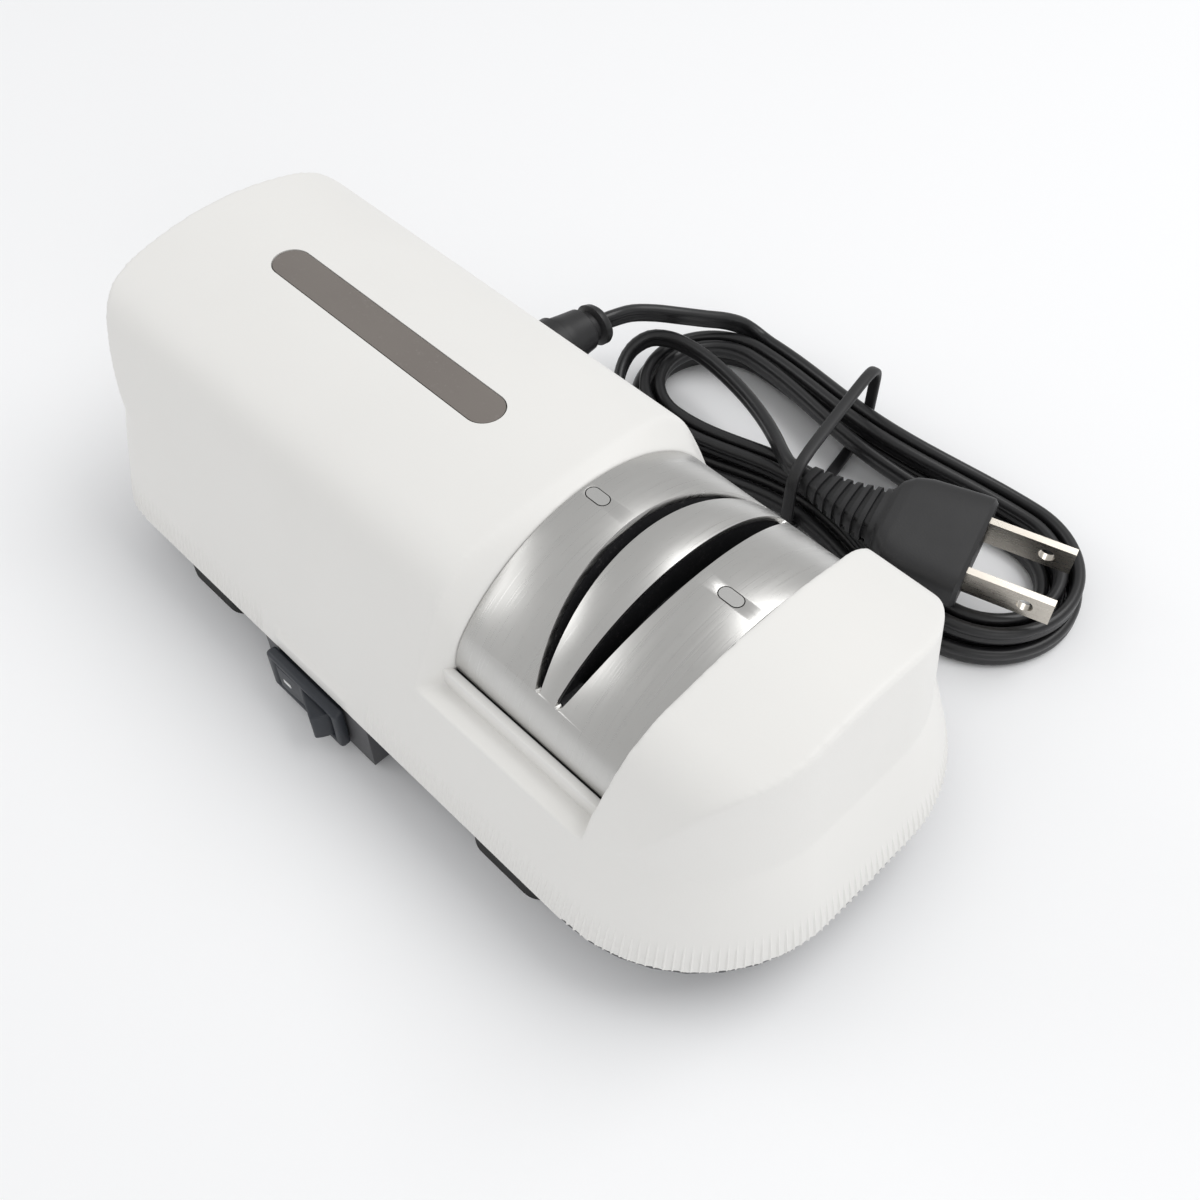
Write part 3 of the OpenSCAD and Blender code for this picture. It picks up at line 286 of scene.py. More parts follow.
class Tree:
    """Short ways to make and link shader nodes."""

    def __init__(self, tree: NodeTree) -> None:
        """Keeps the tree that nodes are made in."""
        self.tree = tree

    def node(self, kind: str, **values: object) -> bpy.types.Node:
        """Makes a node.

        Args:
            kind: type of the node, without its prefix.
            values: properties of the node.

        Returns:
            The node.
        """
        made = self.tree.nodes.new("ShaderNode" + kind)
        for key, value in values.items():
            setattr(made, key, value)
        return made

    def link(self, source: Socket, target: Socket) -> None:
        """Links two sockets."""
        self.tree.links.new(source, target)

    def noise(self, vector: Socket, scale: object, detail: float, rough: float) -> Socket:
        """Makes a noise texture and gives its value socket.

        Args:
            vector: socket with the coordinates.
            scale: a number, or a socket that gives it.
            detail: number of octaves.
            rough: roughness of the octaves.

        Returns:
            The socket with the noise.
        """
        made = self.node("TexNoise")
        made.inputs["Detail"].default_value = detail
        made.inputs["Roughness"].default_value = rough
        self.link(vector, made.inputs["Vector"])
        if isinstance(scale, (int, float)):
            made.inputs["Scale"].default_value = scale
        else:
            self.link(scale, made.inputs["Scale"])
        return made.outputs["Fac"]

    def ramp(self, value: Socket, low: float, high: float) -> Socket:
        """Maps low and high to 0 and 1, clamped.

        Args:
            value: socket with the value.
            low: value that becomes 0.
            high: value that becomes 1.

        Returns:
            The socket with the mapped value.
        """
        made = self.node("MapRange")
        made.inputs["From Min"].default_value = low
        made.inputs["From Max"].default_value = high
        self.link(value, made.inputs["Value"])
        return made.outputs["Result"]

    def times(self, a: Socket, b: Socket) -> Socket:
        """Multiplies two values.

        Args:
            a: socket with the first value.
            b: socket with the second value.

        Returns:
            The socket with the product.
        """
        made = self.node("Math", operation="MULTIPLY")
        self.link(a, made.inputs[0])
        self.link(b, made.inputs[1])
        return made.outputs[0]


class Group(Enum):
    """Effects that several finishes share."""

    TONE = "Surface tone"
    RELIEF = "Fine relief"
    BRUSH = "Brushed grain"
    DUST = "Dust and wear"


def socket(group: NodeTree, name: str, kind: str, out: bool = False, value: object = None) -> None:
    """Adds a named socket to a group.

    Args:
        group: the group.
        name: name of the socket.
        kind: its type, without its prefix.
        out: whether it is an output.
        value: its default.
    """
    way = "OUTPUT" if out else "INPUT"
    made = group.interface.new_socket(name, in_out=way, socket_type="NodeSocket" + kind)
    if value is not None:
        made.default_value = value


def begin_group(kind: Group) -> tuple[NodeTree, Tree, bpy.types.Node, bpy.types.Node]:
    """Makes an empty group.

    Args:
        kind: the effect that it is for.

    Returns:
        The group, its tree, its input node and its output node.
    """
    group = bpy.data.node_groups.new(kind.value, "ShaderNodeTree")
    return group, Tree(group), group.nodes.new("NodeGroupInput"), group.nodes.new("NodeGroupOutput")


def build_tone() -> NodeTree:
    """Builds the group that wanders between two colours over the surface.

    Returns:
        The group.
    """
    group, t, inside, outside = begin_group(Group.TONE)
    socket(group, "Colour", "Color", value=(0.8, 0.8, 0.8, 1))
    socket(group, "Shade", "Color", value=(0.7, 0.7, 0.7, 1))
    socket(group, "Scale", "Float", value=40.0)
    socket(group, "Amount", "Float", value=0.5)
    socket(group, "Colour", "Color", out=True)
    place = t.node("TexCoord").outputs["Object"]
    cloud = t.ramp(t.noise(place, inside.outputs["Scale"], 4, 0.6), 0.35, 0.68)
    mix = t.node("Mix", data_type="RGBA")
    t.link(t.times(cloud, inside.outputs["Amount"]), mix.inputs["Factor"])
    t.link(inside.outputs["Colour"], mix.inputs[MIX_A])
    t.link(inside.outputs["Shade"], mix.inputs[MIX_B])
    t.link(mix.outputs[MIX_RESULT], outside.inputs["Colour"])
    return group


def build_relief() -> NodeTree:
    """Builds the group with the fine height of a moulded or cast surface.

    Returns:
        The group.
    """
    group, t, inside, outside = begin_group(Group.RELIEF)
    socket(group, "Scale", "Float", value=3000.0)
    socket(group, "Height", "Float", out=True)
    socket(group, "Mask", "Float", out=True)
    place = t.node("TexCoord").outputs["Object"]
    fine = t.noise(place, inside.outputs["Scale"], 2, 0.5)
    t.link(fine, outside.inputs["Height"])
    t.link(t.ramp(t.noise(place, 60.0, 3, 0.6), 0.3, 0.7), outside.inputs["Mask"])
    return group


def build_brush() -> NodeTree:
    """Builds the group with the stretched scratches of a brushed surface.

    Returns:
        The group.
    """
    group, t, inside, outside = begin_group(Group.BRUSH)
    socket(group, "Scales", "Vector", value=(3000.0, 40.0, 40.0))
    socket(group, "Height", "Float", out=True)
    socket(group, "Mask", "Float", out=True)
    place = t.node("TexCoord").outputs["Object"]
    stretch = t.node("VectorMath", operation="MULTIPLY")
    t.link(place, stretch.inputs[0])
    t.link(inside.outputs["Scales"], stretch.inputs[1])
    fine = t.noise(stretch.outputs[0], 1.0, 5, 0.7)
    t.link(fine, outside.inputs["Height"])
    t.link(t.ramp(fine, 0.3, 0.7), outside.inputs["Mask"])
    return group


def build_dust() -> NodeTree:
    """Builds the group that masks small specks and rubbed spots.

    Returns:
        The group.
    """
    group, t, inside, outside = begin_group(Group.DUST)
    socket(group, "Scale", "Float", value=900.0)
    socket(group, "Amount", "Float", value=0.3)
    socket(group, "Mask", "Float", out=True)
    place = t.node("TexCoord").outputs["Object"]
    specks = t.ramp(t.noise(place, inside.outputs["Scale"], 3, 0.7), 0.58, 0.7)
    patches = t.ramp(t.noise(place, 70.0, 3, 0.6), 0.4, 0.62)
    t.link(t.times(t.times(specks, patches), inside.outputs["Amount"]), outside.inputs["Mask"])
    return group


# ---- Finishes ----


@dataclass(frozen=True)
class Finish:
    """A finish: two tones, a fine relief or brushed grain, gloss, and specks of dust. Bump in millimetres."""

    name: str
    colour: Colour
    shade: Colour
    rough_low: float
    rough_high: float
    metallic: float = 0.0
    tone_scale: float = 35.0
    tone_amount: float = 0.6
    grain: float = 3500.0
    brush: Optional[Point] = None
    bump: float = 0.01
    dust_colour: Colour = (0.5, 0.5, 0.5)
    dust: float = 0.0
    dust_scale: float = 900.0

    def build(self, groups: dict[Group, NodeTree]) -> Material:
        """Makes the material.

        Args:
            groups: the shared node groups.

        Returns:
            The material.
        """
        material = bpy.data.materials.new(self.name)
        material.use_nodes = True
        t = Tree(material.node_tree)
        shader = material.node_tree.nodes["Principled BSDF"]
        shader.inputs["Metallic"].default_value = self.metallic

        tone = t.node("Group", node_tree=groups[Group.TONE])
        tone.inputs["Colour"].default_value = (*self.colour, 1)
        tone.inputs["Shade"].default_value = (*self.shade, 1)
        tone.inputs["Scale"].default_value = self.tone_scale
        tone.inputs["Amount"].default_value = self.tone_amount
        colour = tone.outputs["Colour"]
        if self.dust > 0:
            dust = t.node("Group", node_tree=groups[Group.DUST])
            dust.inputs["Scale"].default_value = self.dust_scale
            dust.inputs["Amount"].default_value = self.dust
            mix = t.node("Mix", data_type="RGBA")
            mix.inputs[MIX_B].default_value = (*self.dust_colour, 1)
            t.link(dust.outputs["Mask"], mix.inputs["Factor"])
            t.link(colour, mix.inputs[MIX_A])
            colour = mix.outputs[MIX_RESULT]
        t.link(colour, shader.inputs["Base Color"])

        if self.brush:
            relief = t.node("Group", node_tree=groups[Group.BRUSH])
            relief.inputs["Scales"].default_value = self.brush
        else:
            relief = t.node("Group", node_tree=groups[Group.RELIEF])
            relief.inputs["Scale"].default_value = self.grain
        rough = t.node("MapRange")
        rough.inputs["To Min"].default_value = self.rough_low
        rough.inputs["To Max"].default_value = self.rough_high
        t.link(relief.outputs["Mask"], rough.inputs["Value"])
        t.link(rough.outputs["Result"], shader.inputs["Roughness"])
        bump = t.node("Bump")
        bump.inputs["Strength"].default_value = 1.0
        bump.inputs["Distance"].default_value = self.bump * MM
        t.link(relief.outputs["Height"], bump.inputs["Height"])
        t.link(bump.outputs["Normal"], shader.inputs["Normal"])
        return material


FINISHES = {
    "white_shell": Finish("Warm white moulding", (0.83, 0.822, 0.80), (0.805, 0.797, 0.775), 0.42, 0.52,
                          bump=0.012, tone_amount=0.5, grain=2600.0),
    # Dark grey moulding of the lower housing and the inner parts. On the lower housing, under the white
    # shell's lip, this near-black colour is partly the base's own grey and partly painted shade.
    "dark_base": Finish("Grey base moulding with painted shade", (0.085, 0.085, 0.09), (0.07, 0.07, 0.075), 0.5, 0.62,
                        bump=0.02),
    "black_guide": Finish("Black guide moulding", (0.012, 0.012, 0.014), (0.018, 0.018, 0.02), 0.45, 0.65,
                          dust_colour=(0.16, 0.15, 0.15), dust=0.8, dust_scale=2200.0, bump=0.02),
    "switch_black": Finish("Blue-black switch moulding", (0.022, 0.026, 0.034), (0.017, 0.02, 0.026), 0.38,
                           0.48, bump=0.008),
    "switch_mark": Finish("White switch mark", (0.8, 0.8, 0.79), (0.72, 0.72, 0.71), 0.45, 0.55),
    "rubber_foot": Finish("Foot rubber", (0.02, 0.02, 0.02), (0.03, 0.03, 0.03), 0.75, 0.9, bump=0.03),
    "cover_steel": Finish("Brushed cover steel", (0.60, 0.595, 0.58), (0.54, 0.535, 0.52), 0.24, 0.42,
                          metallic=1.0, brush=(3800.0, 35.0, 35.0), bump=0.004,
                          dust_colour=(0.4, 0.4, 0.4), dust=0.15),
    "strip_metal": Finish("Taupe satin strip", (0.26, 0.235, 0.215), (0.23, 0.205, 0.19), 0.34, 0.44,
                          metallic=0.6, brush=(60.0, 4200.0, 60.0), bump=0.002,
                          dust_colour=(0.45, 0.43, 0.4), dust=0.2),
    "inner_steel": Finish("Turned steel", (0.56, 0.56, 0.55), (0.5, 0.5, 0.49), 0.3, 0.45, metallic=1.0,
                          brush=(2500.0, 60.0, 60.0), bump=0.004),
    "rivet_steel": Finish("Rivet steel", (0.66, 0.655, 0.64), (0.6, 0.6, 0.59), 0.2, 0.3, metallic=1.0,
                          bump=0.002),
    "bronze": Finish("Sintered bronze", (0.42, 0.27, 0.11), (0.34, 0.21, 0.09), 0.4, 0.55, metallic=1.0,
                     bump=0.02),
    "wheel_grit": Finish("Bonded grit", (0.16, 0.16, 0.17), (0.24, 0.24, 0.25), 0.8, 0.95, grain=6000.0,
                         bump=0.12, dust_colour=(0.5, 0.5, 0.52), dust=0.6, dust_scale=5000.0),
    "board_green": Finish("Board laminate", (0.02, 0.12, 0.05), (0.015, 0.09, 0.04), 0.35, 0.45, bump=0.01),
    "part_blue": Finish("Capacitor sleeve", (0.04, 0.09, 0.22), (0.03, 0.07, 0.17), 0.3, 0.4),
    "brass": Finish("Tinned brass", (0.6, 0.5, 0.28), (0.5, 0.42, 0.24), 0.3, 0.4, metallic=1.0),
    "cord_black": Finish("Black cord sleeve", (0.011, 0.011, 0.012), (0.016, 0.016, 0.017), 0.3, 0.42,
                         bump=0.012, grain=1500.0),
    "plug_black": Finish("Black plug moulding", (0.012, 0.012, 0.013), (0.018, 0.018, 0.019), 0.42, 0.55,
                         bump=0.02, grain=2200.0),
    "blade_nickel": Finish("Nickel blade", (0.62, 0.58, 0.52), (0.54, 0.5, 0.44), 0.22, 0.36, metallic=1.0,
                           brush=(60.0, 900.0, 2500.0), bump=0.003, dust_colour=(0.3, 0.27, 0.23),
                           dust=0.3),
}

NODE_FINISH = {
    # The lower housing's dark grey is partly painted shade under the shell's lip.
    "lower_housing": "dark_base", "feet": "rubber_foot", "top_strip": "strip_metal",
    "cover_tabs": "rivet_steel", "slot_guide": "black_guide", "grinding_wheel": "wheel_grit",
    "wheel_flanges": "inner_steel", "spindle_shaft": "inner_steel", "shaft_clips": "inner_steel",
    "shaft_coupling": "dark_base", "rear_bracket": "inner_steel", "front_bracket": "inner_steel",
    "bearing_bushes": "bronze", "bracket_screws": "inner_steel", "motor_can": "inner_steel",
    "motor_end_bell": "dark_base", "motor_shaft": "inner_steel", "motor_terminals": "brass",
    "motor_mount": "inner_steel", "motor_saddle": "dark_base", "motor_strap": "inner_steel",
    "rectifier_board": "board_green", "board_parts": "part_blue", "switch_terminals": "brass",
    "housing_screws": "inner_steel", "cord_gland": "plug_black", "gland_nut": "plug_black",
    "plug_blades": "blade_nickel",
}


class Palette:
    """All materials of the object, made once."""

    def __init__(self) -> None:
        """Builds the groups and the materials."""
        groups = {Group.TONE: build_tone(), Group.RELIEF: build_relief(), Group.BRUSH: build_brush(),
                  Group.DUST: build_dust()}
        self.made = {key: finish.build(groups) for key, finish in FINISHES.items()}

    def __getitem__(self, key: str) -> Material:
        """Gives the material of a finish."""
        return self.made[key]

    def dress_nodes(self) -> None:
        """Gives every CAD node that stays in view its material."""
        for node, key in NODE_FINISH.items():
            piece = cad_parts[node]
            piece.data.materials.clear()
            piece.data.materials.append(self.made[key])
            smooth(piece, 32)
            LOG.info("%s: CAD node in %s", node, key)


# ---- Camera, light and floor ----


@dataclass
class Studio:
    """The camera at the photograph's place, soft light and a pale floor. Places are in millimetres."""

    eye: Point = (123.66, -99.53, 215.06)
    target: Point = (17.29, 4.22, 21.87)
    roll: float = -0.38
    lens: float = 40.28
    sensor: float = 36.0
    floor_half: float = 3000.0
    world_level: float = 0.62
    clip: Flat = (0.01, 20.0)
    lamps: tuple[tuple[str, Point, Point, Flat, float], ...] = (
        ("key", (250, 420, 800), (0, 0, 20), (700, 500), 3.5),
        ("side", (-650, -350, 420), (0, 0, 30), (500, 400), 0.9),
        ("front", (600, -250, 350), (40, 0, 30), (350, 350), 0.5))

    def camera(self) -> None:
        """Makes the camera."""
        data = bpy.data.cameras.new("camera")
        data.lens, data.sensor_width = self.lens, self.sensor
        data.clip_start, data.clip_end = self.clip
        eye = Vector(self.eye) * MM
        ahead = (Vector(self.target) * MM - eye).normalized()
        right = ahead.cross(Vector((0, 0, 1))).normalized()
        up = right.cross(ahead)
        r = math.radians(self.roll)
        right, up = right * math.cos(r) + up * math.sin(r), up * math.cos(r) - right * math.sin(r)
        placed = Matrix((right, up, -ahead)).transposed().to_4x4()
        placed.translation = eye
        made = bpy.data.objects.new("camera", data)
        made.matrix_world = placed
        bpy.context.scene.collection.objects.link(made)
        bpy.context.scene.camera = made

    def lamp(self, name: str, place: Point, aim: Point, size: Flat, power: float) -> None:
        """Makes a soft lamp.

        Args:
            name: name of the lamp.
            place: where it hangs, in millimetres.
            aim: the point that it faces.
            size: its two sides, in millimetres.
            power: its power, in watts.
        """
        data = bpy.data.lights.new(name, "AREA")
        data.shape = "RECTANGLE"
        data.size, data.size_y = size[0] * MM, size[1] * MM
        data.energy = power
        made = bpy.data.objects.new(name, data)
        made.location = Vector(place) * MM
        made.rotation_euler = (Vector(aim) * MM - made.location).to_track_quat("-Z", "Y").to_euler()
        bpy.context.scene.collection.objects.link(made)

    def world(self) -> None:
        """Makes the soft surroundings, which the camera sees as white."""
        world = bpy.data.worlds.new("studio")
        bpy.context.scene.world = world
        world.use_nodes = True
        t = Tree(world.node_tree)
        back = world.node_tree.nodes["Background"]
        back.inputs["Color"].default_value = (1, 1, 1, 1)
        back.inputs["Strength"].default_value = self.world_level
        seen = t.node("Background")
        seen.inputs["Color"].default_value = (1, 1, 1, 1)
        mix = t.node("MixShader")
        t.link(t.node("LightPath").outputs["Is Camera Ray"], mix.inputs[0])
        t.link(back.outputs[0], mix.inputs[1])
        t.link(seen.outputs[0], mix.inputs[2])
        t.link(mix.outputs[0], world.node_tree.nodes["World Output"].inputs["Surface"])

    def floor(self) -> None:
        """Makes the pale floor."""
        h = self.floor_half
        made = from_faces("floor", [(-h, -h, 0), (h, -h, 0), (h, h, 0), (-h, h, 0)], [(0, 1, 2, 3)])
        material = bpy.data.materials.new("Pale floor")
        material.use_nodes = True
        shader = material.node_tree.nodes["Principled BSDF"]
        shader.inputs["Base Color"].default_value = (0.93, 0.935, 0.945, 1)
        shader.inputs["Roughness"].default_value = 0.9
        shader.inputs["Specular IOR Level"].default_value = 0.1
        made.data.materials.append(material)

    def build(self) -> None:
        """Makes everything of the studio."""
        self.camera()
        self.world()
        self.floor()
        for lamp in self.lamps:
            self.lamp(*lamp)
        bpy.context.scene.view_settings.view_transform = "Standard"


# ---- Housing ----


@dataclass
class Housing:
    """The white upper moulding, with its bay, rails, switch pad and ribbed skirt. Sizes in millimetres."""

    body_w: float = 82.0
    body_l: float = 163.7
    lip_z: float = 13.0
    crown_z: float = 57.3
    wall: float = 2.4
    shoulder_r: float = 15.0
    shoulder_drop: float = 17.37
    shoulder_gap: float = 31.3
    front_r: float = 30.2
    rear_r: float = 12.5
    front_bow: float = 0.7
    rear_lean: float = 6.3
    crease_z: float = 33.0
    front_draft: float = 6.0
    bay_x0: float = 13.5
    bay_x1: float = 53.2
    bay_lean: float = 2.7
    ledge_z: float = 31.5
    rail_h: float = 4.0
    rail_t: float = 1.4
    flange_w: float = 4.7
    strip_l: float = 60.5
    strip_w: float = 7.3
    strip_x0: float = -62.6
    axis_z: float = 26.5
    wall_turn: float = 64.0
    crown_share: float = 0.92
    outer_levels: int = 12
    inner_levels: int = 6
    reach: float = 5.0
    past: float = 1.0
    gap: float = 0.15
    flange_lip: float = 0.3
    flange_t: float = 0.4
    flange_levels: int = 10
    flange_step: float = 0.5
    way_inset: float = 3.4
    opening_edge: float = 3.0
    opening_h: float = 10.0
    rail_gap: float = 0.2
    rail_inset: float = 1.2
    rail_rise: float = 0.1
    rail_round: float = 0.3
    pocket_gap: float = 0.22
    pocket_depth: float = 1.35
    pocket_top: float = 4.0
    pad: Point = (-21.7, -0.7, 17.4)
    pad_depth: float = 4.0
    pad_margin: float = 4.0
    pad_side: float = -38.0
    voxel: float = 0.5
    relax: float = 0.5
    relax_steps: int = 7
    rib_pitch: float = 1.42
    rib_top: float = 20.6
    rib_proud: float = 0.34
    rib_half: float = 0.36
    rib_foot: float = 0.7
    rib_sink: float = 0.06
    rib_end: float = 0.02
    rib_fade: float = 1.5
    rib_levels: int = 6
    rib_detail: int = 160
    side_steps: int = 400

    def __post_init__(self) -> None:
        """Works out the circles that the arch is made of."""
        self.half_w = self.body_w / 2
        self.front_x = self.body_l / 2 + self.rear_lean / 2
        self.rear_x = self.front_x - self.body_l
        self.sh_y = self.shoulder_gap / 2
        self.sh_z = self.crown_z - self.shoulder_drop
        drop, r = self.shoulder_drop, self.shoulder_r
        self.crown_r = (self.sh_y**2 + drop**2 - r**2) / (2 * (drop - r))
        self.crown_a = math.atan2(self.sh_y, self.crown_r - drop)
        self.wall_a = math.radians(self.wall_turn)
        n = (math.sin(self.wall_a), math.cos(self.wall_a))
        v = (self.half_w - self.sh_y, self.lip_z - self.sh_z)
        vn = v[0] * n[0] + v[1] * n[1]
        self.side_r = (v[0] ** 2 + v[1] ** 2 + r * r - 2 * r * vn) / (2 * (r - vn))
        self.side_y = self.sh_y - (self.side_r - r) * n[0]
        self.side_z = self.sh_z - (self.side_r - r) * n[1]
        self.front_cy = self.half_w - self.front_r
        self.front_cx = self.front_x - self.front_bow - self.front_r
        self.cover_x0 = self.bay_x0 + self.flange_w
        self.cover_foot = self.ledge_z + self.rail_h

    def half_width(self, z: float, d: float = 0.0) -> float:
        """Half width of the arch at a height.

        Args:
            z: the height.
            d: how far the arch is taken in.

        Returns:
            The half width, on the crown, the shoulder or the wall.
        """
        r = self.shoulder_r - d
        if z >= self.sh_z + r * math.cos(self.crown_a):
            return math.sqrt(max(0.0, (self.crown_r - d) ** 2 - (z - self.crown_z + self.crown_r) ** 2))
        if z >= self.sh_z + r * math.cos(self.wall_a):
            return self.sh_y + math.sqrt(r * r - (z - self.sh_z) ** 2)
        return self.side_y + math.sqrt((self.side_r - d) ** 2 - (z - self.side_z) ** 2)

    def set_back(self, z: float) -> float:
        """How far the ends stand back at a height."""
        slope = max(0.0, z - self.crease_z) * math.tan(math.radians(self.front_draft))
        return self.half_w - self.half_width(min(z, self.crease_z)) + slope

    def front_end(self, z: float, y: float, d: float) -> float:
        """Place of the front wall.

        Args:
            z: the height.
            y: the distance from the middle.
            d: how far the form is taken in.

        Returns:
            Its place along X.
        """
        r, a = self.front_r - self.set_back(z) - d, max(0.0, abs(y) - self.front_cy)
        bow = self.front_bow * (1 + math.cos(math.pi * y / self.half_w)) / 2
        return self.front_cx + math.sqrt(max(0.0, r * r - a * a)) + bow

    def rear_end(self, z: float, y: float, d: float) -> float:
        """Place of the rear wall.

        Args:
            z: the height.
            y: the distance from the middle.
            d: how far the form is taken in.

        Returns:
            Its place along X.
        """
        c = self.half_w - self.set_back(min(z, self.crease_z)) - self.rear_r
        a, r = max(0.0, abs(y) - c), self.rear_r - d
        lean = self.rear_lean * (z - self.lip_z) / (self.crown_z - self.lip_z)
        return self.rear_x - lean + self.rear_r - math.sqrt(max(0.0, r * r - a * a))

    def level(self, z: float, d: float, n: int) -> list[Point]:
        """One level of the form.

        Args:
            z: its height.
            d: how far the form is taken in.
            n: number of points in each quarter.

        Returns:
            The closed outline.
        """
        w = self.half_width(z, d)
        ys = [w * math.sin(math.pi / 2 * k / n) for k in range(-n, n + 1)]
        front = [(self.front_end(z, y, d), y, z) for y in ys]
        return front + [(self.rear_end(z, -y, d), -y, z) for y in ys]

    def heights(self, d: float, foot: float, n: int) -> list[float]:
        """Heights of the levels, up the wall and over the shoulder and crown.

        Args:
            d: how far the form is taken in.
            foot: the lowest height.
            n: number of levels on each stretch.

        Returns:
            The heights, from the foot up.
        """
        zs = self.sh_z + (self.shoulder_r - d) * math.cos(self.wall_a)
        turn, r, steps = self.crown_a - self.wall_a, self.crown_r - d, range(1, n + 1)
        up = [foot + (self.crease_z - foot) * k / n for k in range(n + 1)]
        up += [self.crease_z + (zs - self.crease_z) * k / n for k in steps]
        up += [self.sh_z + (self.shoulder_r - d) * math.cos(self.wall_a + turn * k / n) for k in steps]
        up += [self.crown_z - self.crown_r + r * math.cos(self.crown_a * (1 - self.crown_share * k / n))
               for k in steps]
        return up

    def form(self, name: str, d: float, foot: float, n: int) -> Piece:
        """The whole form, taken in by d."""
        return loft(name, [self.level(z, d, 3 * n) for z in self.heights(d, foot, n)])

    def bay_front(self, z: float) -> float:
        """Place of the bay's front face at a height."""
        return self.bay_x1 + self.bay_lean * max(0.0, z - self.cover_foot) / (self.crown_z - self.cover_foot)

    def flange(self, cover: "Cover") -> Piece:
        """The slope from the arch down to the outline of the cover.

        Args:
            cover: the cover that it leads to.

        Returns:
            The solid that the bay's cutter leaves standing.
        """
        foot, lip, t = self.ledge_z - self.wall, self.flange_lip, self.flange_t
        levels = self.heights(0, self.lip_z, self.flange_levels)
        zs = [foot] + [z for z in levels if z > foot + self.flange_step]
        half = [(self.half_width(z) + lip, z + lip) for z in zs]
        section = half + [(-y, z) for y, z in reversed(half)]
        points = [(x, y, z) for x in (self.bay_x0 - t, self.bay_x0) for y, z in section]
        points += [(x, y, z) for x in (self.cover_x0 - t, self.cover_x0)
                   for y, z in cover.arch(0, foot)]
        return hull("flange", points)

    def shell(self, cover: "Cover") -> Piece:
        """Builds the moulding with its hollow, bay and ledges.

        Args:
            cover: the cover that the bay makes room for.

        Returns:
            The moulding, with sharp edges.
        """
        top, wide, w = self.crown_z + self.reach, self.half_w + self.reach, self.wall
        piece = self.form("housing_shell", 0, self.lip_z, self.outer_levels)
        pad = block("pad", (self.pad[0], -self.half_w, self.lip_z),
                    (self.pad[1], self.pad_depth - self.half_w, self.pad[2]))
        combine(piece, pad, Cut.UNION)
        hollow = self.form("hollow", w, self.lip_z - self.past, self.inner_levels)
        room = [(self.bay_x0 - w, self.ledge_z - w), (self.bay_x1 + w, self.ledge_z - w),
                (self.bay_x1 + w, self.cover_foot), (self.bay_front(top) + w, top), (self.bay_x0 - w, top)]
        combine(hollow, prism_y("room", room, -wide, wide), Cut.DIFFERENCE)
        combine(piece, hollow, Cut.DIFFERENCE)
        outline = [(self.bay_x0, self.ledge_z), (self.bay_x1, self.ledge_z), (self.bay_x1, self.cover_foot),
                   (self.bay_front(top), top), (self.bay_x0, top)]
        bay = prism_y("bay", outline, -wide, wide)
        combine(bay, self.flange(cover), Cut.DIFFERENCE)
        combine(piece, bay, Cut.DIFFERENCE)
        way = prism_x("way", cover.arch(self.way_inset, self.ledge_z - w - self.past),
                      self.bay_x0 - w - self.past, self.cover_x0 + self.past)
        combine(piece, way, Cut.DIFFERENCE)
        edge = cover.width / 2 - self.opening_edge
        low = (self.cover_x0 + self.gap, -edge, self.axis_z)
        high = (self.bay_x1 - self.gap, edge, self.axis_z + self.opening_h)
        combine(piece, block("opening", low, high), Cut.DIFFERENCE)
        return piece

    def strip_pocket(self) -> Piece:
        """The pocket of the inlay in the crown, a little larger than the inlay.

        Returns:
            The solid that cuts it.
        """
        r = self.strip_w / 2
        x0, x1 = self.strip_x0 + r, self.strip_x0 + self.strip_l - r
        outline = pill(x0, x1, r + self.pocket_gap, 48)
        return prism_z("pocket", outline, self.crown_z - self.pocket_depth, self.crown_z + self.pocket_top)

    def rails(self, cover: "Cover") -> list[Piece]:
        """Builds the two upright rails beside the feet of the cover.

        Args:
            cover: the cover between them.

        Returns:
            The rails.
        """
        made = []
        near = cover.width / 2 + self.rail_gap
        far = cover.width / 2 + 2 * self.rail_gap + self.rail_t
        for name, y in (("bay_rail_near", (-far, -near)), ("bay_rail_far", (near, far))):
            rail = block(name, (self.bay_x0 + self.rail_inset, y[0], self.ledge_z - self.past),
                         (self.bay_x1 + self.past, y[1], self.ledge_z + self.rail_h + self.rail_rise))
            round_edges(rail, self.rail_round, 3, 40)
            smooth(rail, 50)
            made.append(rail)
        return made

    def soften(self, piece: Piece) -> None:
        """Rounds every edge of the moulding a little, as a mould does, and cuts its pocket.

        Args:
            piece: the moulding.
        """
        remesh = piece.modifiers.new("remesh", "REMESH")
        remesh.mode = "VOXEL"
        remesh.voxel_size = self.voxel * MM
        bake_modifiers(piece)
        relax = piece.modifiers.new("relax", "SMOOTH")
        relax.factor, relax.iterations = self.relax, self.relax_steps
        bake_modifiers(piece)
        combine(piece, self.strip_pocket(), Cut.DIFFERENCE, "MANIFOLD")
        smooth(piece, 50)

    def perimeter(self, z: float, n: int) -> np.ndarray:
        """Outline of the skirt at a height, with the same number of points on each stretch.

        Args:
            z: the height.
            n: number of points in each quarter of the ends.

        Returns:
            The outline's points.
        """
        ring = self.level(z, 0, n)
        m = 2 * n + 1
        front, rear = np.array(ring[:m]), np.array(ring[m:])
        steps = np.linspace(0, 1, self.side_steps)[1:-1, None]
        left = front[-1] + (rear[0] - front[-1]) * steps
        right = rear[-1] + (front[0] - rear[-1]) * steps
        return np.concatenate([front, left, rear, right])

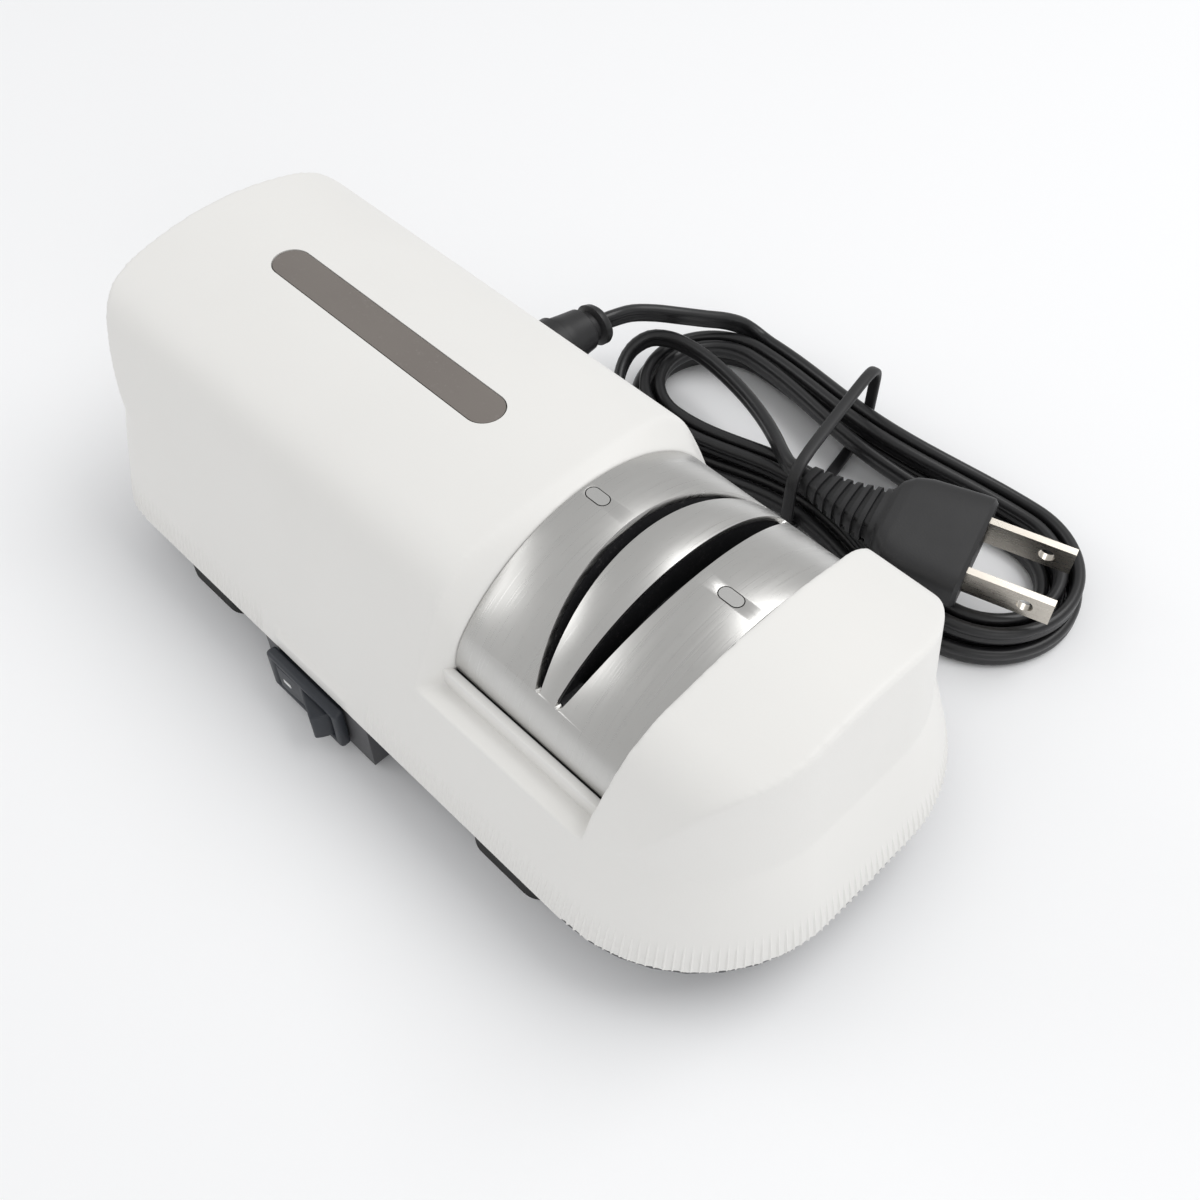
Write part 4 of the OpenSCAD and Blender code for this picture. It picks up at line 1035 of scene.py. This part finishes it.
    def ribs(self) -> Piece:
        """Builds the fine upright ribs round the foot of the skirt, which fade out at their tops.

        Returns:
            All ribs as one piece.
        """
        zs = np.linspace(self.lip_z + self.rib_foot, self.rib_top, self.rib_levels)
        rings = [self.perimeter(z, self.rib_detail) for z in zs]
        base = rings[0]
        steps = np.linalg.norm(np.roll(base, -1, axis=0) - base, axis=1)
        along = np.concatenate([[0], np.cumsum(steps)])
        count = int(along[-1] / self.rib_pitch)
        closed = [np.concatenate([ring, ring[:1]]) for ring in rings]
        x0, x1 = self.pad[0] - self.pad_margin, self.pad[1] + self.pad_margin

        def at(ring: np.ndarray, s: float) -> np.ndarray:
            """Point of a ring at a distance along the lowest one."""
            return np.array([np.interp(s % along[-1], along, ring[:, k]) for k in range(3)])

        points, faces = [], []
        for i in range(count):
            s = along[-1] * i / count
            middle = at(closed[0], s)
            if x0 < middle[0] < x1 and middle[1] < self.pad_side:
                continue
            first = len(points)
            for k, ring in enumerate(closed):
                a, b, m = at(ring, s - self.rib_half), at(ring, s + self.rib_half), at(ring, s)
                out = np.cross(b - a, (0, 0, 1.0))
                out /= np.linalg.norm(out)
                proud = self.rib_proud * (1 - (k / (len(closed) - 1)) ** self.rib_fade) - self.rib_end
                sunk = out * self.rib_sink
                points += [tuple(a - sunk), tuple(m + out * proud), tuple(b - sunk)]
            for k in range(len(closed) - 1):
                p = first + 3 * k
                faces += [(p, p + 1, p + 4, p + 3), (p + 1, p + 2, p + 5, p + 4), (p + 2, p, p + 3, p + 5)]
            faces += [(first, first + 2, first + 1)]
            last = first + 3 * (len(closed) - 1)
            faces += [(last, last + 1, last + 2)]
        return from_faces("skirt_ribs", points, faces)

    def build(self, palette: Palette, cover: "Cover") -> None:
        """Builds and dresses the moulding, its rails and its ribs.

        Args:
            palette: the materials.
            cover: the cover that the moulding makes room for.
        """
        shell = self.shell(cover)
        self.soften(shell)
        finish_piece(shell, palette["white_shell"], Body.ROOT)
        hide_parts("upper_housing")
        for rail in self.rails(cover):
            finish_piece(rail, palette["white_shell"], Body.ROOT)
        ribs = self.ribs()
        smooth(ribs, 50)
        finish_piece(ribs, palette["white_shell"], Body.ROOT)


# ---- Cover ----


@dataclass
class Cover:
    """The brushed steel cover with its two knife slots. Sizes in millimetres."""

    radius: float = 34.0
    crown: float = 56.4
    width: float = 59.0
    side_r: float = 12.0
    sheet: float = 0.9
    x0: float = 18.35
    bay_x1: float = 53.2
    bay_lean: float = 2.7
    foot: float = 35.65
    slot_z: float = 43.3
    end_w: float = 0.9
    slots: tuple[Point, ...] = ((28.55, 2.9, 34.65), (39.4, 3.8, 38.8))
    slot_taper: float = 0.7
    slot_steps: int = 24
    slot_tip: int = 8
    slot_top: float = 1.0
    tabs: Flat = (21.3, 49.7)
    tab_r: float = 1.2
    tab_half: float = 1.0
    tab_gap: float = 0.18
    tab_reach: Flat = (-4.0, 2.0)
    gap: float = 0.15
    shell_crown: float = 57.3
    lean_z: float = 35.5
    edge_round: float = 0.08

    def arch(self, d: float, foot: float, n: int = 40) -> list[Flat]:
        """Outline of the arch in YZ.

        Args:
            d: how far it is taken in.
            foot: height of its feet.
            n: number of steps on each half of the crown.

        Returns:
            The outline, from its right foot to its left one.
        """
        cz = self.crown - self.radius
        cy = self.width / 2 - self.side_r
        sz = cz + math.sqrt((self.radius - self.side_r) ** 2 - cy * cy)
        turn = math.atan2(cy, sz - cz)
        half = [(cy + self.side_r - d, foot)]
        for k in range(n // 2 + 1):
            a = math.pi / 2 + (turn - math.pi / 2) * k / (n // 2)
            half.append((cy + (self.side_r - d) * math.sin(a), sz + (self.side_r - d) * math.cos(a)))
        for k in range(1, n + 1):
            a = turn * (1 - k / n)
            half.append(((self.radius - d) * math.sin(a), cz + (self.radius - d) * math.cos(a)))
        return half + [(-y, z) for y, z in reversed(half[:-1])]

    def rear_edge(self, slot: Point, z: float) -> float:
        """Rear edge of a slot at a height."""
        return slot[0] + (slot[2] - slot[0]) * (self.crown - z) / (self.crown - self.slot_z)

    def front_edge(self, slot: Point, z: float) -> float:
        """Front edge of a slot at a height."""
        u = max(0.0, 1 - (self.crown - z) / (self.crown - self.slot_z))
        return self.rear_edge(slot, z) + self.end_w + (slot[1] - self.end_w) * u**self.slot_taper

    def slot_cutter(self, slot: Point) -> Piece:
        """The prism that cuts one slot, with a round lower end.

        Args:
            slot: its rear edge at the crown, its width there, and its rear edge at its lower end.

        Returns:
            The cutter.
        """
        top, r, n = self.crown + self.slot_top, self.end_w / 2, self.slot_steps
        foot = self.slot_z + r
        zs = [self.crown + (foot - self.crown) * k / n for k in range(n + 1)]
        rear = [(self.rear_edge(slot, z), z) for z in zs]
        front = [(self.front_edge(slot, z), z) for z in zs]
        a, b = rear[-1][0], front[-1][0]
        tip = [((a + b) / 2 + (b - a) / 2 * math.cos(t), foot + r * math.sin(t))
               for t in np.linspace(-math.pi, 0, self.slot_tip)[1:-1]]
        outline = [(self.rear_edge(slot, top), top)] + rear + tip + front[::-1]
        outline.append((self.front_edge(slot, self.crown), top))
        return prism_y("slot", outline, -self.width, self.width)

    def build(self, palette: Palette) -> None:
        """Builds and dresses the cover.

        Args:
            palette: the materials.
        """
        outer, inner = self.arch(0, self.foot), self.arch(self.sheet, self.foot)
        x1 = self.bay_x1 - self.gap
        lean = self.bay_lean / (self.shell_crown - self.lean_z)
        rings = []
        for part in (outer, inner):
            rings.append([(self.x0, y, z) for y, z in part])
            rings.append([(x1 + lean * max(0.0, z - self.lean_z), y, z) for y, z in part])
        n = len(outer)
        points = [p for ring in rings for p in ring]
        faces = []
        for i in range(n - 1):
            faces.append((i, i + 1, n + i + 1, n + i))
            faces.append((2 * n + i, 3 * n + i, 3 * n + i + 1, 2 * n + i + 1))
            faces.append((i, 2 * n + i, 2 * n + i + 1, i + 1))
            faces.append((n + i, n + i + 1, 3 * n + i + 1, 3 * n + i))
        for i in (0, n - 1):
            faces.append((i, n + i, 3 * n + i, 2 * n + i))
        piece = from_faces("cover_skin", points, faces)
        for slot in self.slots:
            combine(piece, self.slot_cutter(slot), Cut.DIFFERENCE)
        for x in self.tabs:
            outline = pill(x - self.tab_half, x + self.tab_half, self.tab_r + self.tab_gap, 24)
            low, high = (self.crown + z for z in self.tab_reach)
            combine(piece, prism_z("tab", outline, low, high), Cut.DIFFERENCE)
        round_edges(piece, self.edge_round, 2, 60)
        smooth(piece, 40)
        finish_piece(piece, palette["cover_steel"], Body.ROOT)
        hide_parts("steel_cover")


# ---- Switch ----


@dataclass
class Switch:
    """The rocker switch: a rounded frame, the rocker and its mark. Sizes in millimetres."""

    x: float = -12.5
    z: float = 7.65
    length: float = 21.0
    height: float = 10.3
    face_y: float = -43.3
    wall_y: float = -41.0
    pivot_y: float = -40.6
    rocker_r: float = 8.2
    rocker_h: float = 6.8
    swing: float = 22.0
    tip: float = 30.0
    end_gap: float = 0.3
    side_gap: float = 0.15
    frame_round: float = 0.75
    rocker_round: float = 0.3
    past: float = 1.0
    lap: float = 0.1
    face_steps: int = 8
    valley_fill: float = 0.25
    end_turn: float = 0.03
    body_z: Flat = (3.05, 12.05)
    body_half: float = 9.0
    body_y: float = -34.0
    well_y: float = -36.2
    pin_y: float = 1.4
    pin_half: float = 4.0
    mark: tuple[float, float, float, float] = (3.4, 5.4, -0.06, 0.4)
    mark_half: float = 0.45

    def __post_init__(self) -> None:
        """Works out the rocker's tips and the valley between its two faces."""
        tip = math.radians(self.tip)
        self.slope = math.tan(math.radians(self.swing / 2))
        self.tip_x, self.tip_y = self.rocker_r * math.cos(tip), -self.rocker_r * math.sin(tip)
        self.valley = self.tip_y + self.tip_x * self.slope

    def frame(self, palette: Palette) -> None:
        """Builds the frame and the body behind it.

        Args:
            palette: the materials.
        """
        x0, x1 = self.x - self.length / 2, self.x + self.length / 2
        z0, z1 = self.z - self.height / 2, self.z + self.height / 2
        piece = block("switch_frame", (x0, self.face_y, z0), (x1, self.wall_y, z1))
        r, h = self.rocker_r + self.end_gap, self.rocker_h / 2 + self.side_gap
        hole = block("hole", (self.x - r, self.face_y - self.past, self.z - h),
                     (self.x + r, self.wall_y + self.past, self.z + h))
        combine(piece, hole, Cut.DIFFERENCE)
        round_edges(piece, self.frame_round, 4, 40)
        rear = block("rear", (self.x - self.body_half, self.wall_y - self.lap, self.body_z[0]),
                     (self.x + self.body_half, self.body_y, self.body_z[1]))
        well = block("well", (self.x - r, self.wall_y - self.past, self.z - h),
                     (self.x + r, self.well_y, self.z + h))
        combine(rear, well, Cut.DIFFERENCE)
        combine(piece, rear, Cut.UNION)
        smooth(piece, 35)
        finish_piece(piece, palette["switch_black"], Body.ROOT)
        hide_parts("switch_body")

    def profile(self) -> list[Flat]:
        """Outline of the rocker in XY round its pin, with its swing centred.

        Returns:
            The outline.
        """
        faces, n = [], self.face_steps
        for k in range(-n, n + 1):
            x = self.tip_x * k / n
            dip = self.valley - abs(x) * self.slope
            faces.append((x, dip + self.valley_fill * (1 - abs(k) / n) ** 2))
        turns = np.linspace(math.radians(self.tip), self.end_turn, n)[1:]
        right = [(self.rocker_r * math.cos(t), -self.rocker_r * math.sin(t)) for t in turns]
        left = [(-x, y) for x, y in reversed(right)]
        return faces + right + [(self.pin_half, self.pin_y), (-self.pin_half, self.pin_y)] + left

    def rocker(self, palette: Palette) -> None:
        """Builds the rocker at its rest position, and the mark on it.

        Args:
            palette: the materials.
        """
        turn = math.radians(-self.swing / 2)

        def placed(x: float, y: float) -> Flat:
            """Turns a point about the pin."""
            return (self.x + x * math.cos(turn) - y * math.sin(turn),
                    self.pivot_y + x * math.sin(turn) + y * math.cos(turn))

        outline = [placed(x, y) for x, y in self.profile()]
        z0, z1 = self.z - self.rocker_h / 2, self.z + self.rocker_h / 2
        piece = prism_z("rocker_paddle", outline, z0, z1)
        round_edges(piece, self.rocker_round, 3, 30)
        smooth(piece, 35)
        finish_piece(piece, palette["switch_black"], Body.ROCKER)
        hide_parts("switch_rocker")
        x0, x1, low, high = self.mark
        outline = [placed(-x, self.valley - x * self.slope + lift)
                   for x, lift in ((x0, low), (x1, low), (x1, high), (x0, high))]
        mark = prism_z("rocker_mark", outline, self.z - self.mark_half, self.z + self.mark_half)
        finish_piece(mark, palette["switch_mark"], Body.ROCKER)

    def build(self, palette: Palette) -> None:
        """Builds the whole switch."""
        self.frame(palette)
        self.rocker(palette)


# ---- Mains cord ----


@dataclass
class MainsCord:
    """The flat two-core cord in its hank, its strain relief, band and plug. Sizes in millimetres."""

    width: float = 4.2
    thick: float = 2.5
    centre: Flat = (20.5, 73.0)
    fold_r: float = 18.6
    run: float = 72.0
    waist: float = 5.0
    step: float = 3.3
    layer: float = 4.65
    foot: float = 2.3
    lift: float = 2.8
    inner: int = 2
    hank_steps: int = 840
    cord_sides: int = 20
    plug_at: Point = (57.0, 66.4, 16.0)
    plug_roll: float = 6.0
    plug_yaw: float = 17.0
    plug_l: float = 19.0
    plug_w: float = 24.0
    plug_t: float = 10.0
    sleeve_l: float = 17.0
    sleeve_stub: float = 4.4
    grooves: int = 7
    groove_at: float = 1.6
    groove_pitch: float = 2.15
    groove_walls: tuple[float, ...] = (0.0, 0.12, 1.05, 1.17)
    groove_share: Flat = (0.05, 0.52)
    groove_top: Flat = (0.93, 0.72)
    groove_side: Flat = (0.75, 0.84)
    plug_corner: Flat = (0.62, 0.42)
    plug_sides: int = 56
    tie_x: float = 17.0
    tie_y: float = -0.4
    tie_slant: float = 12.0
    tie_side: float = 5.2
    tie_mid: float = 11.2
    tie_foot: float = 1.05
    tie_corner: float = 0.36
    tie_section: Point = (1.25, 0.75, 0.7)
    tie_steps: int = 160
    tie_points: int = 120
    tie_sides: int = 14
    collar_sides: int = 36
    collar: tuple[tuple[float, float, float, float], ...] = (
        (-38, 46, 21.5, 5.7), (-38, 46.6, 21.5, 5.9), (-38, 48.6, 21.5, 5.5), (-37.95, 51, 21.5, 5.1),
        (-37.8, 53.3, 21.5, 4.8), (-37.75, 53.7, 21.5, 4.3), (-37.7, 54, 21.5, 3.7), (-37.5, 55.2, 21.4, 3.6),
        (-37.45, 55.5, 21.4, 4.2), (-37.4, 55.8, 21.4, 4.8), (-37.1, 56.9, 21.35, 4.7),
        (-36.95, 57.4, 21.3, 4.3))
    lead: tuple[Point, ...] = (
        (-36.9, 57.4, 21.3), (-36.03, 61.3, 21.08), (-35.4, 66, 19.9), (-33.2, 70.8, 18.4), (-30, 76, 16.4),
        (-27, 81.2, 14.2), (-24.6, 85.8, 12.2), (-22.4, 90, 9.2), (-18.9, 91.9, 6.9))
    tail: tuple[Point, ...] = (
        (-19.9, 52, 2.3), (-25.2, 53.2, 3.6), (-30, 56.4, 5.6), (-33.6, 61, 7.8), (-34.6, 65.4, 10.2),
        (-33, 69.4, 12), (-29.2, 72, 12.5), (-23.6, 73, 12.6), (-17, 72.8, 12.6), (-10, 71.6, 12.6),
        (-3, 69.6, 12.8), (3.5, 66.8, 13.4), (9, 63.6, 14.4), (13.2, 60.6, 15.6))

    def __post_init__(self) -> None:
        """Works out how the hank's turns are shared between runs and folds."""
        self.fold_share = math.pi * self.fold_r / (2 * (self.run + math.pi * self.fold_r))
        self.run_share = 0.5 - self.fold_share
        self.turns = 2 * self.inner + 1 - self.fold_share

    def hank_point(self, t: float) -> np.ndarray:
        """Point of the hank.

        Args:
            t: number of turns from its start.

        Returns:
            The point.
        """
        k = math.floor(t)
        f = t - k
        ramp = max(0.0, (f - self.run_share) / (1 - self.run_share))
        if k < self.inner:
            inset = k + ramp
        elif k == self.inner and f < self.run_share:
            inset = float(self.inner)
        else:
            inset = 2 * self.inner - k - ramp
        down = min(1.0, max(0.0, (t - self.inner) / self.run_share))
        height = self.foot + self.layer * (1 + math.cos(math.pi * down)) / 2
        r, h = self.fold_r - self.step * inset, self.run / 2
        g, side = (f, 1) if f < 0.5 else (f - 0.5, -1)
        if g < self.run_share:
            x = -h + self.run * g / self.run_share
            share = (1 + math.cos(math.pi * x / h)) / 2
            y = r - self.waist * share
            height += self.lift * share
        else:
            a = math.pi * (g - self.run_share) / self.fold_share
            x, y = h + r * math.sin(a), r * math.cos(a)
        return np.array([self.centre[0] + side * x, self.centre[1] + side * y, height])

    def sleeve_bend(self, x: float) -> float:
        """Sideways bend of the plug's sleeve."""
        slope = math.tan(math.radians(self.plug_yaw))
        return 0.0 if x > -self.plug_l else slope / (2 * self.sleeve_l) * (x + self.plug_l) ** 2

    def plug_matrix(self) -> Matrix:
        """Where the plug lies."""
        turn = Matrix.Rotation(math.radians(self.plug_yaw), 4, "Z") @ Matrix.Rotation(
            math.radians(self.plug_roll), 4, "X")
        return Matrix.Translation(Vector(self.plug_at)) @ turn

    def plug_point(self, x: float) -> np.ndarray:
        """Point of the plug's middle line."""
        return np.array(self.plug_matrix() @ Vector((x, self.sleeve_bend(x), 0)))

    def centreline(self) -> np.ndarray:
        """The cord's middle line, from the strain relief to the plug.

        Returns:
            Its points.
        """
        start = self.plug_point(-self.plug_l - self.sleeve_l)
        ahead = self.plug_point(-self.plug_l - self.sleeve_l + 0.1) - start
        ahead /= np.linalg.norm(ahead)
        steps = self.hank_steps
        hank = np.array([self.hank_point(self.turns * i / steps) for i in range(steps + 1)])
        lead = self.curve(np.array([*self.lead, hank[0]]), hank[6])
        end = np.array([hank[-1], *self.tail, start - self.sleeve_stub * ahead, start])
        tail = self.curve(end, start + 4 * ahead, hank[-6])
        return np.concatenate([lead[:-1], hank, tail[1:]])

    @staticmethod
    def curve(points: np.ndarray, after: np.ndarray, before: Optional[np.ndarray] = None,
              spacing: float = 1.4) -> np.ndarray:
        """A smooth line through points.

        Args:
            points: the points that it passes.
            after: a point that the line goes on to.
            before: a point that it comes from, or None.
            spacing: about how far apart its samples are.

        Returns:
            The sampled line.
        """
        first = before if before is not None else 2 * points[0] - points[1]
        knots = np.concatenate([[first], points, [after]])
        line = []
        for i in range(1, len(knots) - 2):
            p0, p1, p2, p3 = knots[i - 1: i + 3]
            d = [max(1e-6, np.linalg.norm(b - a)) ** 0.5 for a, b in ((p0, p1), (p1, p2), (p2, p3))]
            m1 = d[1] * ((p1 - p0) / d[0] - (p2 - p0) / (d[0] + d[1]) + (p2 - p1) / d[1])
            m2 = d[1] * ((p2 - p1) / d[1] - (p3 - p1) / (d[1] + d[2]) + (p3 - p2) / d[2])
            for t in np.linspace(0, 1, max(3, int(np.linalg.norm(p2 - p1) / spacing)), endpoint=False):
                a, b = 2 * t**3 - 3 * t**2 + 1, t**3 - 2 * t**2 + t
                line.append(a * p1 + b * m1 + (3 * t**2 - 2 * t**3) * p2 + (t**3 - t**2) * m2)
        return np.array([*line, points[-1]])

    def section(self, a: float) -> Flat:
        """Outline of the cord's two-core section.

        Args:
            a: angle round its middle.

        Returns:
            How far the outline stands sideways and upwards there.
        """
        rho = self.thick / 2
        h = self.width / 2 - rho
        s, c = math.sin(a), math.cos(a)
        r = h * abs(c) + math.sqrt(rho * rho - (h * s) ** 2)
        return r * s, r * c

    def sweep(self, name: str, line: np.ndarray, sides: int) -> Piece:
        """Sweeps the cord's section along a line, kept upright.

        Args:
            name: name of the piece.
            line: the middle line.
            sides: number of points round the section.

        Returns:
            The new object.
        """
        ahead = np.gradient(line, axis=0)
        ahead /= np.linalg.norm(ahead, axis=1)[:, None]
        side = np.cross((0, 0, 1.0), ahead)
        side /= np.linalg.norm(side, axis=1)[:, None]
        up = np.cross(ahead, side)
        section = [self.section(2 * math.pi * (k + 0.5) / sides) for k in range(sides)]
        rings = [[tuple(p + s * u + w * v) for u, v in section] for p, s, w in zip(line, side, up)]
        return loft(name, rings)

    def relief(self, palette: Palette) -> Piece:
        """Builds the tapered strain relief at the gland.

        Args:
            palette: the materials.

        Returns:
            The piece.
        """
        turns = [2 * math.pi * k / self.collar_sides for k in range(self.collar_sides)]
        rings = [[(x + r * math.cos(a), y, z + r * math.sin(a)) for a in turns] for x, y, z, r in self.collar]
        piece = loft("relief_sleeve", rings)
        smooth(piece, 40)
        finish_piece(piece, palette["plug_black"], Body.ROOT)
        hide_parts("strain_relief")
        return piece

    def tie(self, palette: Palette) -> Piece:
        """Builds the band round the waist of the hank.

        Args:
            palette: the materials.

        Returns:
            The piece.
        """
        half, m, corner = self.fold_r - self.waist + self.tie_side, self.tie_mid, self.tie_corner
        wide, thick, power = self.tie_section
        turn = math.radians(self.tie_slant)
        line = []
        for k in range(self.tie_steps):
            a = 2 * math.pi * k / self.tie_steps
            line.append((half * squared(math.cos(a), corner),
                         m + (m - self.tie_foot) * squared(math.sin(a), corner)))
        line = np.array(line)
        steps = np.concatenate([[0], np.cumsum(np.linalg.norm(np.roll(line, -1, axis=0) - line, axis=1))])
        closed = np.concatenate([line, line[:1]])
        even = np.linspace(0, steps[-1], self.tie_points + 1)[:-1]
        line = np.stack([np.interp(even, steps, closed[:, k]) for k in range(2)], axis=1)
        rings = []
        for k in range(len(line)):
            t = line[(k + 1) % len(line)] - line[k - 1]
            t /= np.linalg.norm(t)
            ring = []
            for j in range(self.tie_sides):
                a = 2 * math.pi * (j + 0.5) / self.tie_sides
                u, v = wide * squared(math.sin(a), power), thick * squared(math.cos(a), power)
                y, z = line[k][0] - t[1] * v, line[k][1] + t[0] * v
                ring.append((self.tie_x + u * math.cos(turn) - y * math.sin(turn),
                             self.centre[1] + self.tie_y + u * math.sin(turn) + y * math.cos(turn), z))
            rings.append(ring)
        piece = loft("tie_band", rings, closed=True)
        smooth(piece, 60)
        finish_piece(piece, palette["plug_black"], Body.ROOT)
        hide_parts("cord_tie")
        return piece

    def plug(self, palette: Palette) -> Piece:
        """Builds the plug's body with its ribbed sleeve.

        Args:
            palette: the materials.

        Returns:
            The piece.
        """
        thick, wide = self.plug_t / 2, self.plug_w / 2
        foot, rear, pitch = -self.plug_l, -self.plug_l - self.sleeve_l, self.groove_pitch
        stations = np.array([  # along X, half height, half width
            (rear, 2.6, 2.6), (rear + 4.25, 3.2, 3.4), (rear + 8.5, 3.6, 4.2), (rear + 12.75, 4.0, 5.2),
            (foot, 4.3, 6.2), (foot + 1, 4.9, 8.2), (foot + 3, thick, 10.2), (foot + 6, thick, 11.2),
            (-3, thick, wide), (-0.8, thick, wide), (0, thick - 0.6, wide - 0.7)])
        xs = [rear, rear + 0.3]
        for k in range(self.grooves):
            a = rear + self.groove_at + k * pitch
            xs += [a + wall for wall in self.groove_walls]
        xs += list(np.linspace(rear + 16.4, foot + 6, 22))
        xs += [-11, -9, -6, -3, -1.6, -0.8, -0.4, -0.15, 0]
        matrix = self.plug_matrix()
        bend = math.tan(math.radians(self.plug_yaw)) / self.sleeve_l
        rings = []
        for x in sorted(xs):
            hz, hy = (np.interp(x, stations[:, 0], stations[:, k]) for k in (1, 2))
            place = (x - rear - self.groove_at) / pitch
            start, end = self.groove_share
            groove = 0 <= place < self.grooves and start < (place % 1) < end
            turn = 0.0 if x > foot else math.atan(bend * (x - foot))
            power = self.plug_corner[0] if x < foot else self.plug_corner[1]
            ring = []
            for k in range(self.plug_sides):
                a = 2 * math.pi * k / self.plug_sides
                c, s = math.cos(a), math.sin(a)
                w, v = hy * squared(c, power), hz * squared(s, power)
                if groove and abs(c) < self.groove_top[0]:
                    v *= self.groove_top[1]
                if groove and abs(s) < self.groove_side[0]:
                    w *= self.groove_side[1]
                p = matrix @ Vector((x - w * math.sin(turn), self.sleeve_bend(x) + w * math.cos(turn), v))
                ring.append(tuple(p))
            rings.append(ring)
        piece = loft("plug_shell", rings)
        smooth(piece, 32)
        finish_piece(piece, palette["plug_black"], Body.ROOT)
        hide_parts("plug_body")
        return piece

    def build(self, palette: Palette) -> None:
        """Args:
            palette: the materials.
        """
        line = self.centreline()
        piece = self.sweep("mains_cord", line, self.cord_sides)
        smooth(piece, 60)
        finish_piece(piece, palette["cord_black"], Body.ROOT)
        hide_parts("cord_lead", "cord_hank", "cord_tail")
        self.relief(palette)
        self.tie(palette)
        plug = self.plug(palette)


def main() -> None:
    """Builds the object from its cord to its housing."""
    logging.basicConfig(level=logging.INFO, format="%(message)s")
    palette = Palette()
    Studio().build()
    MainsCord().build(palette)
    cover = Cover()
    Housing().build(palette, cover)
    cover.build(palette)
    Switch().build(palette)
    palette.dress_nodes()


if __name__ == "__main__":
    main()
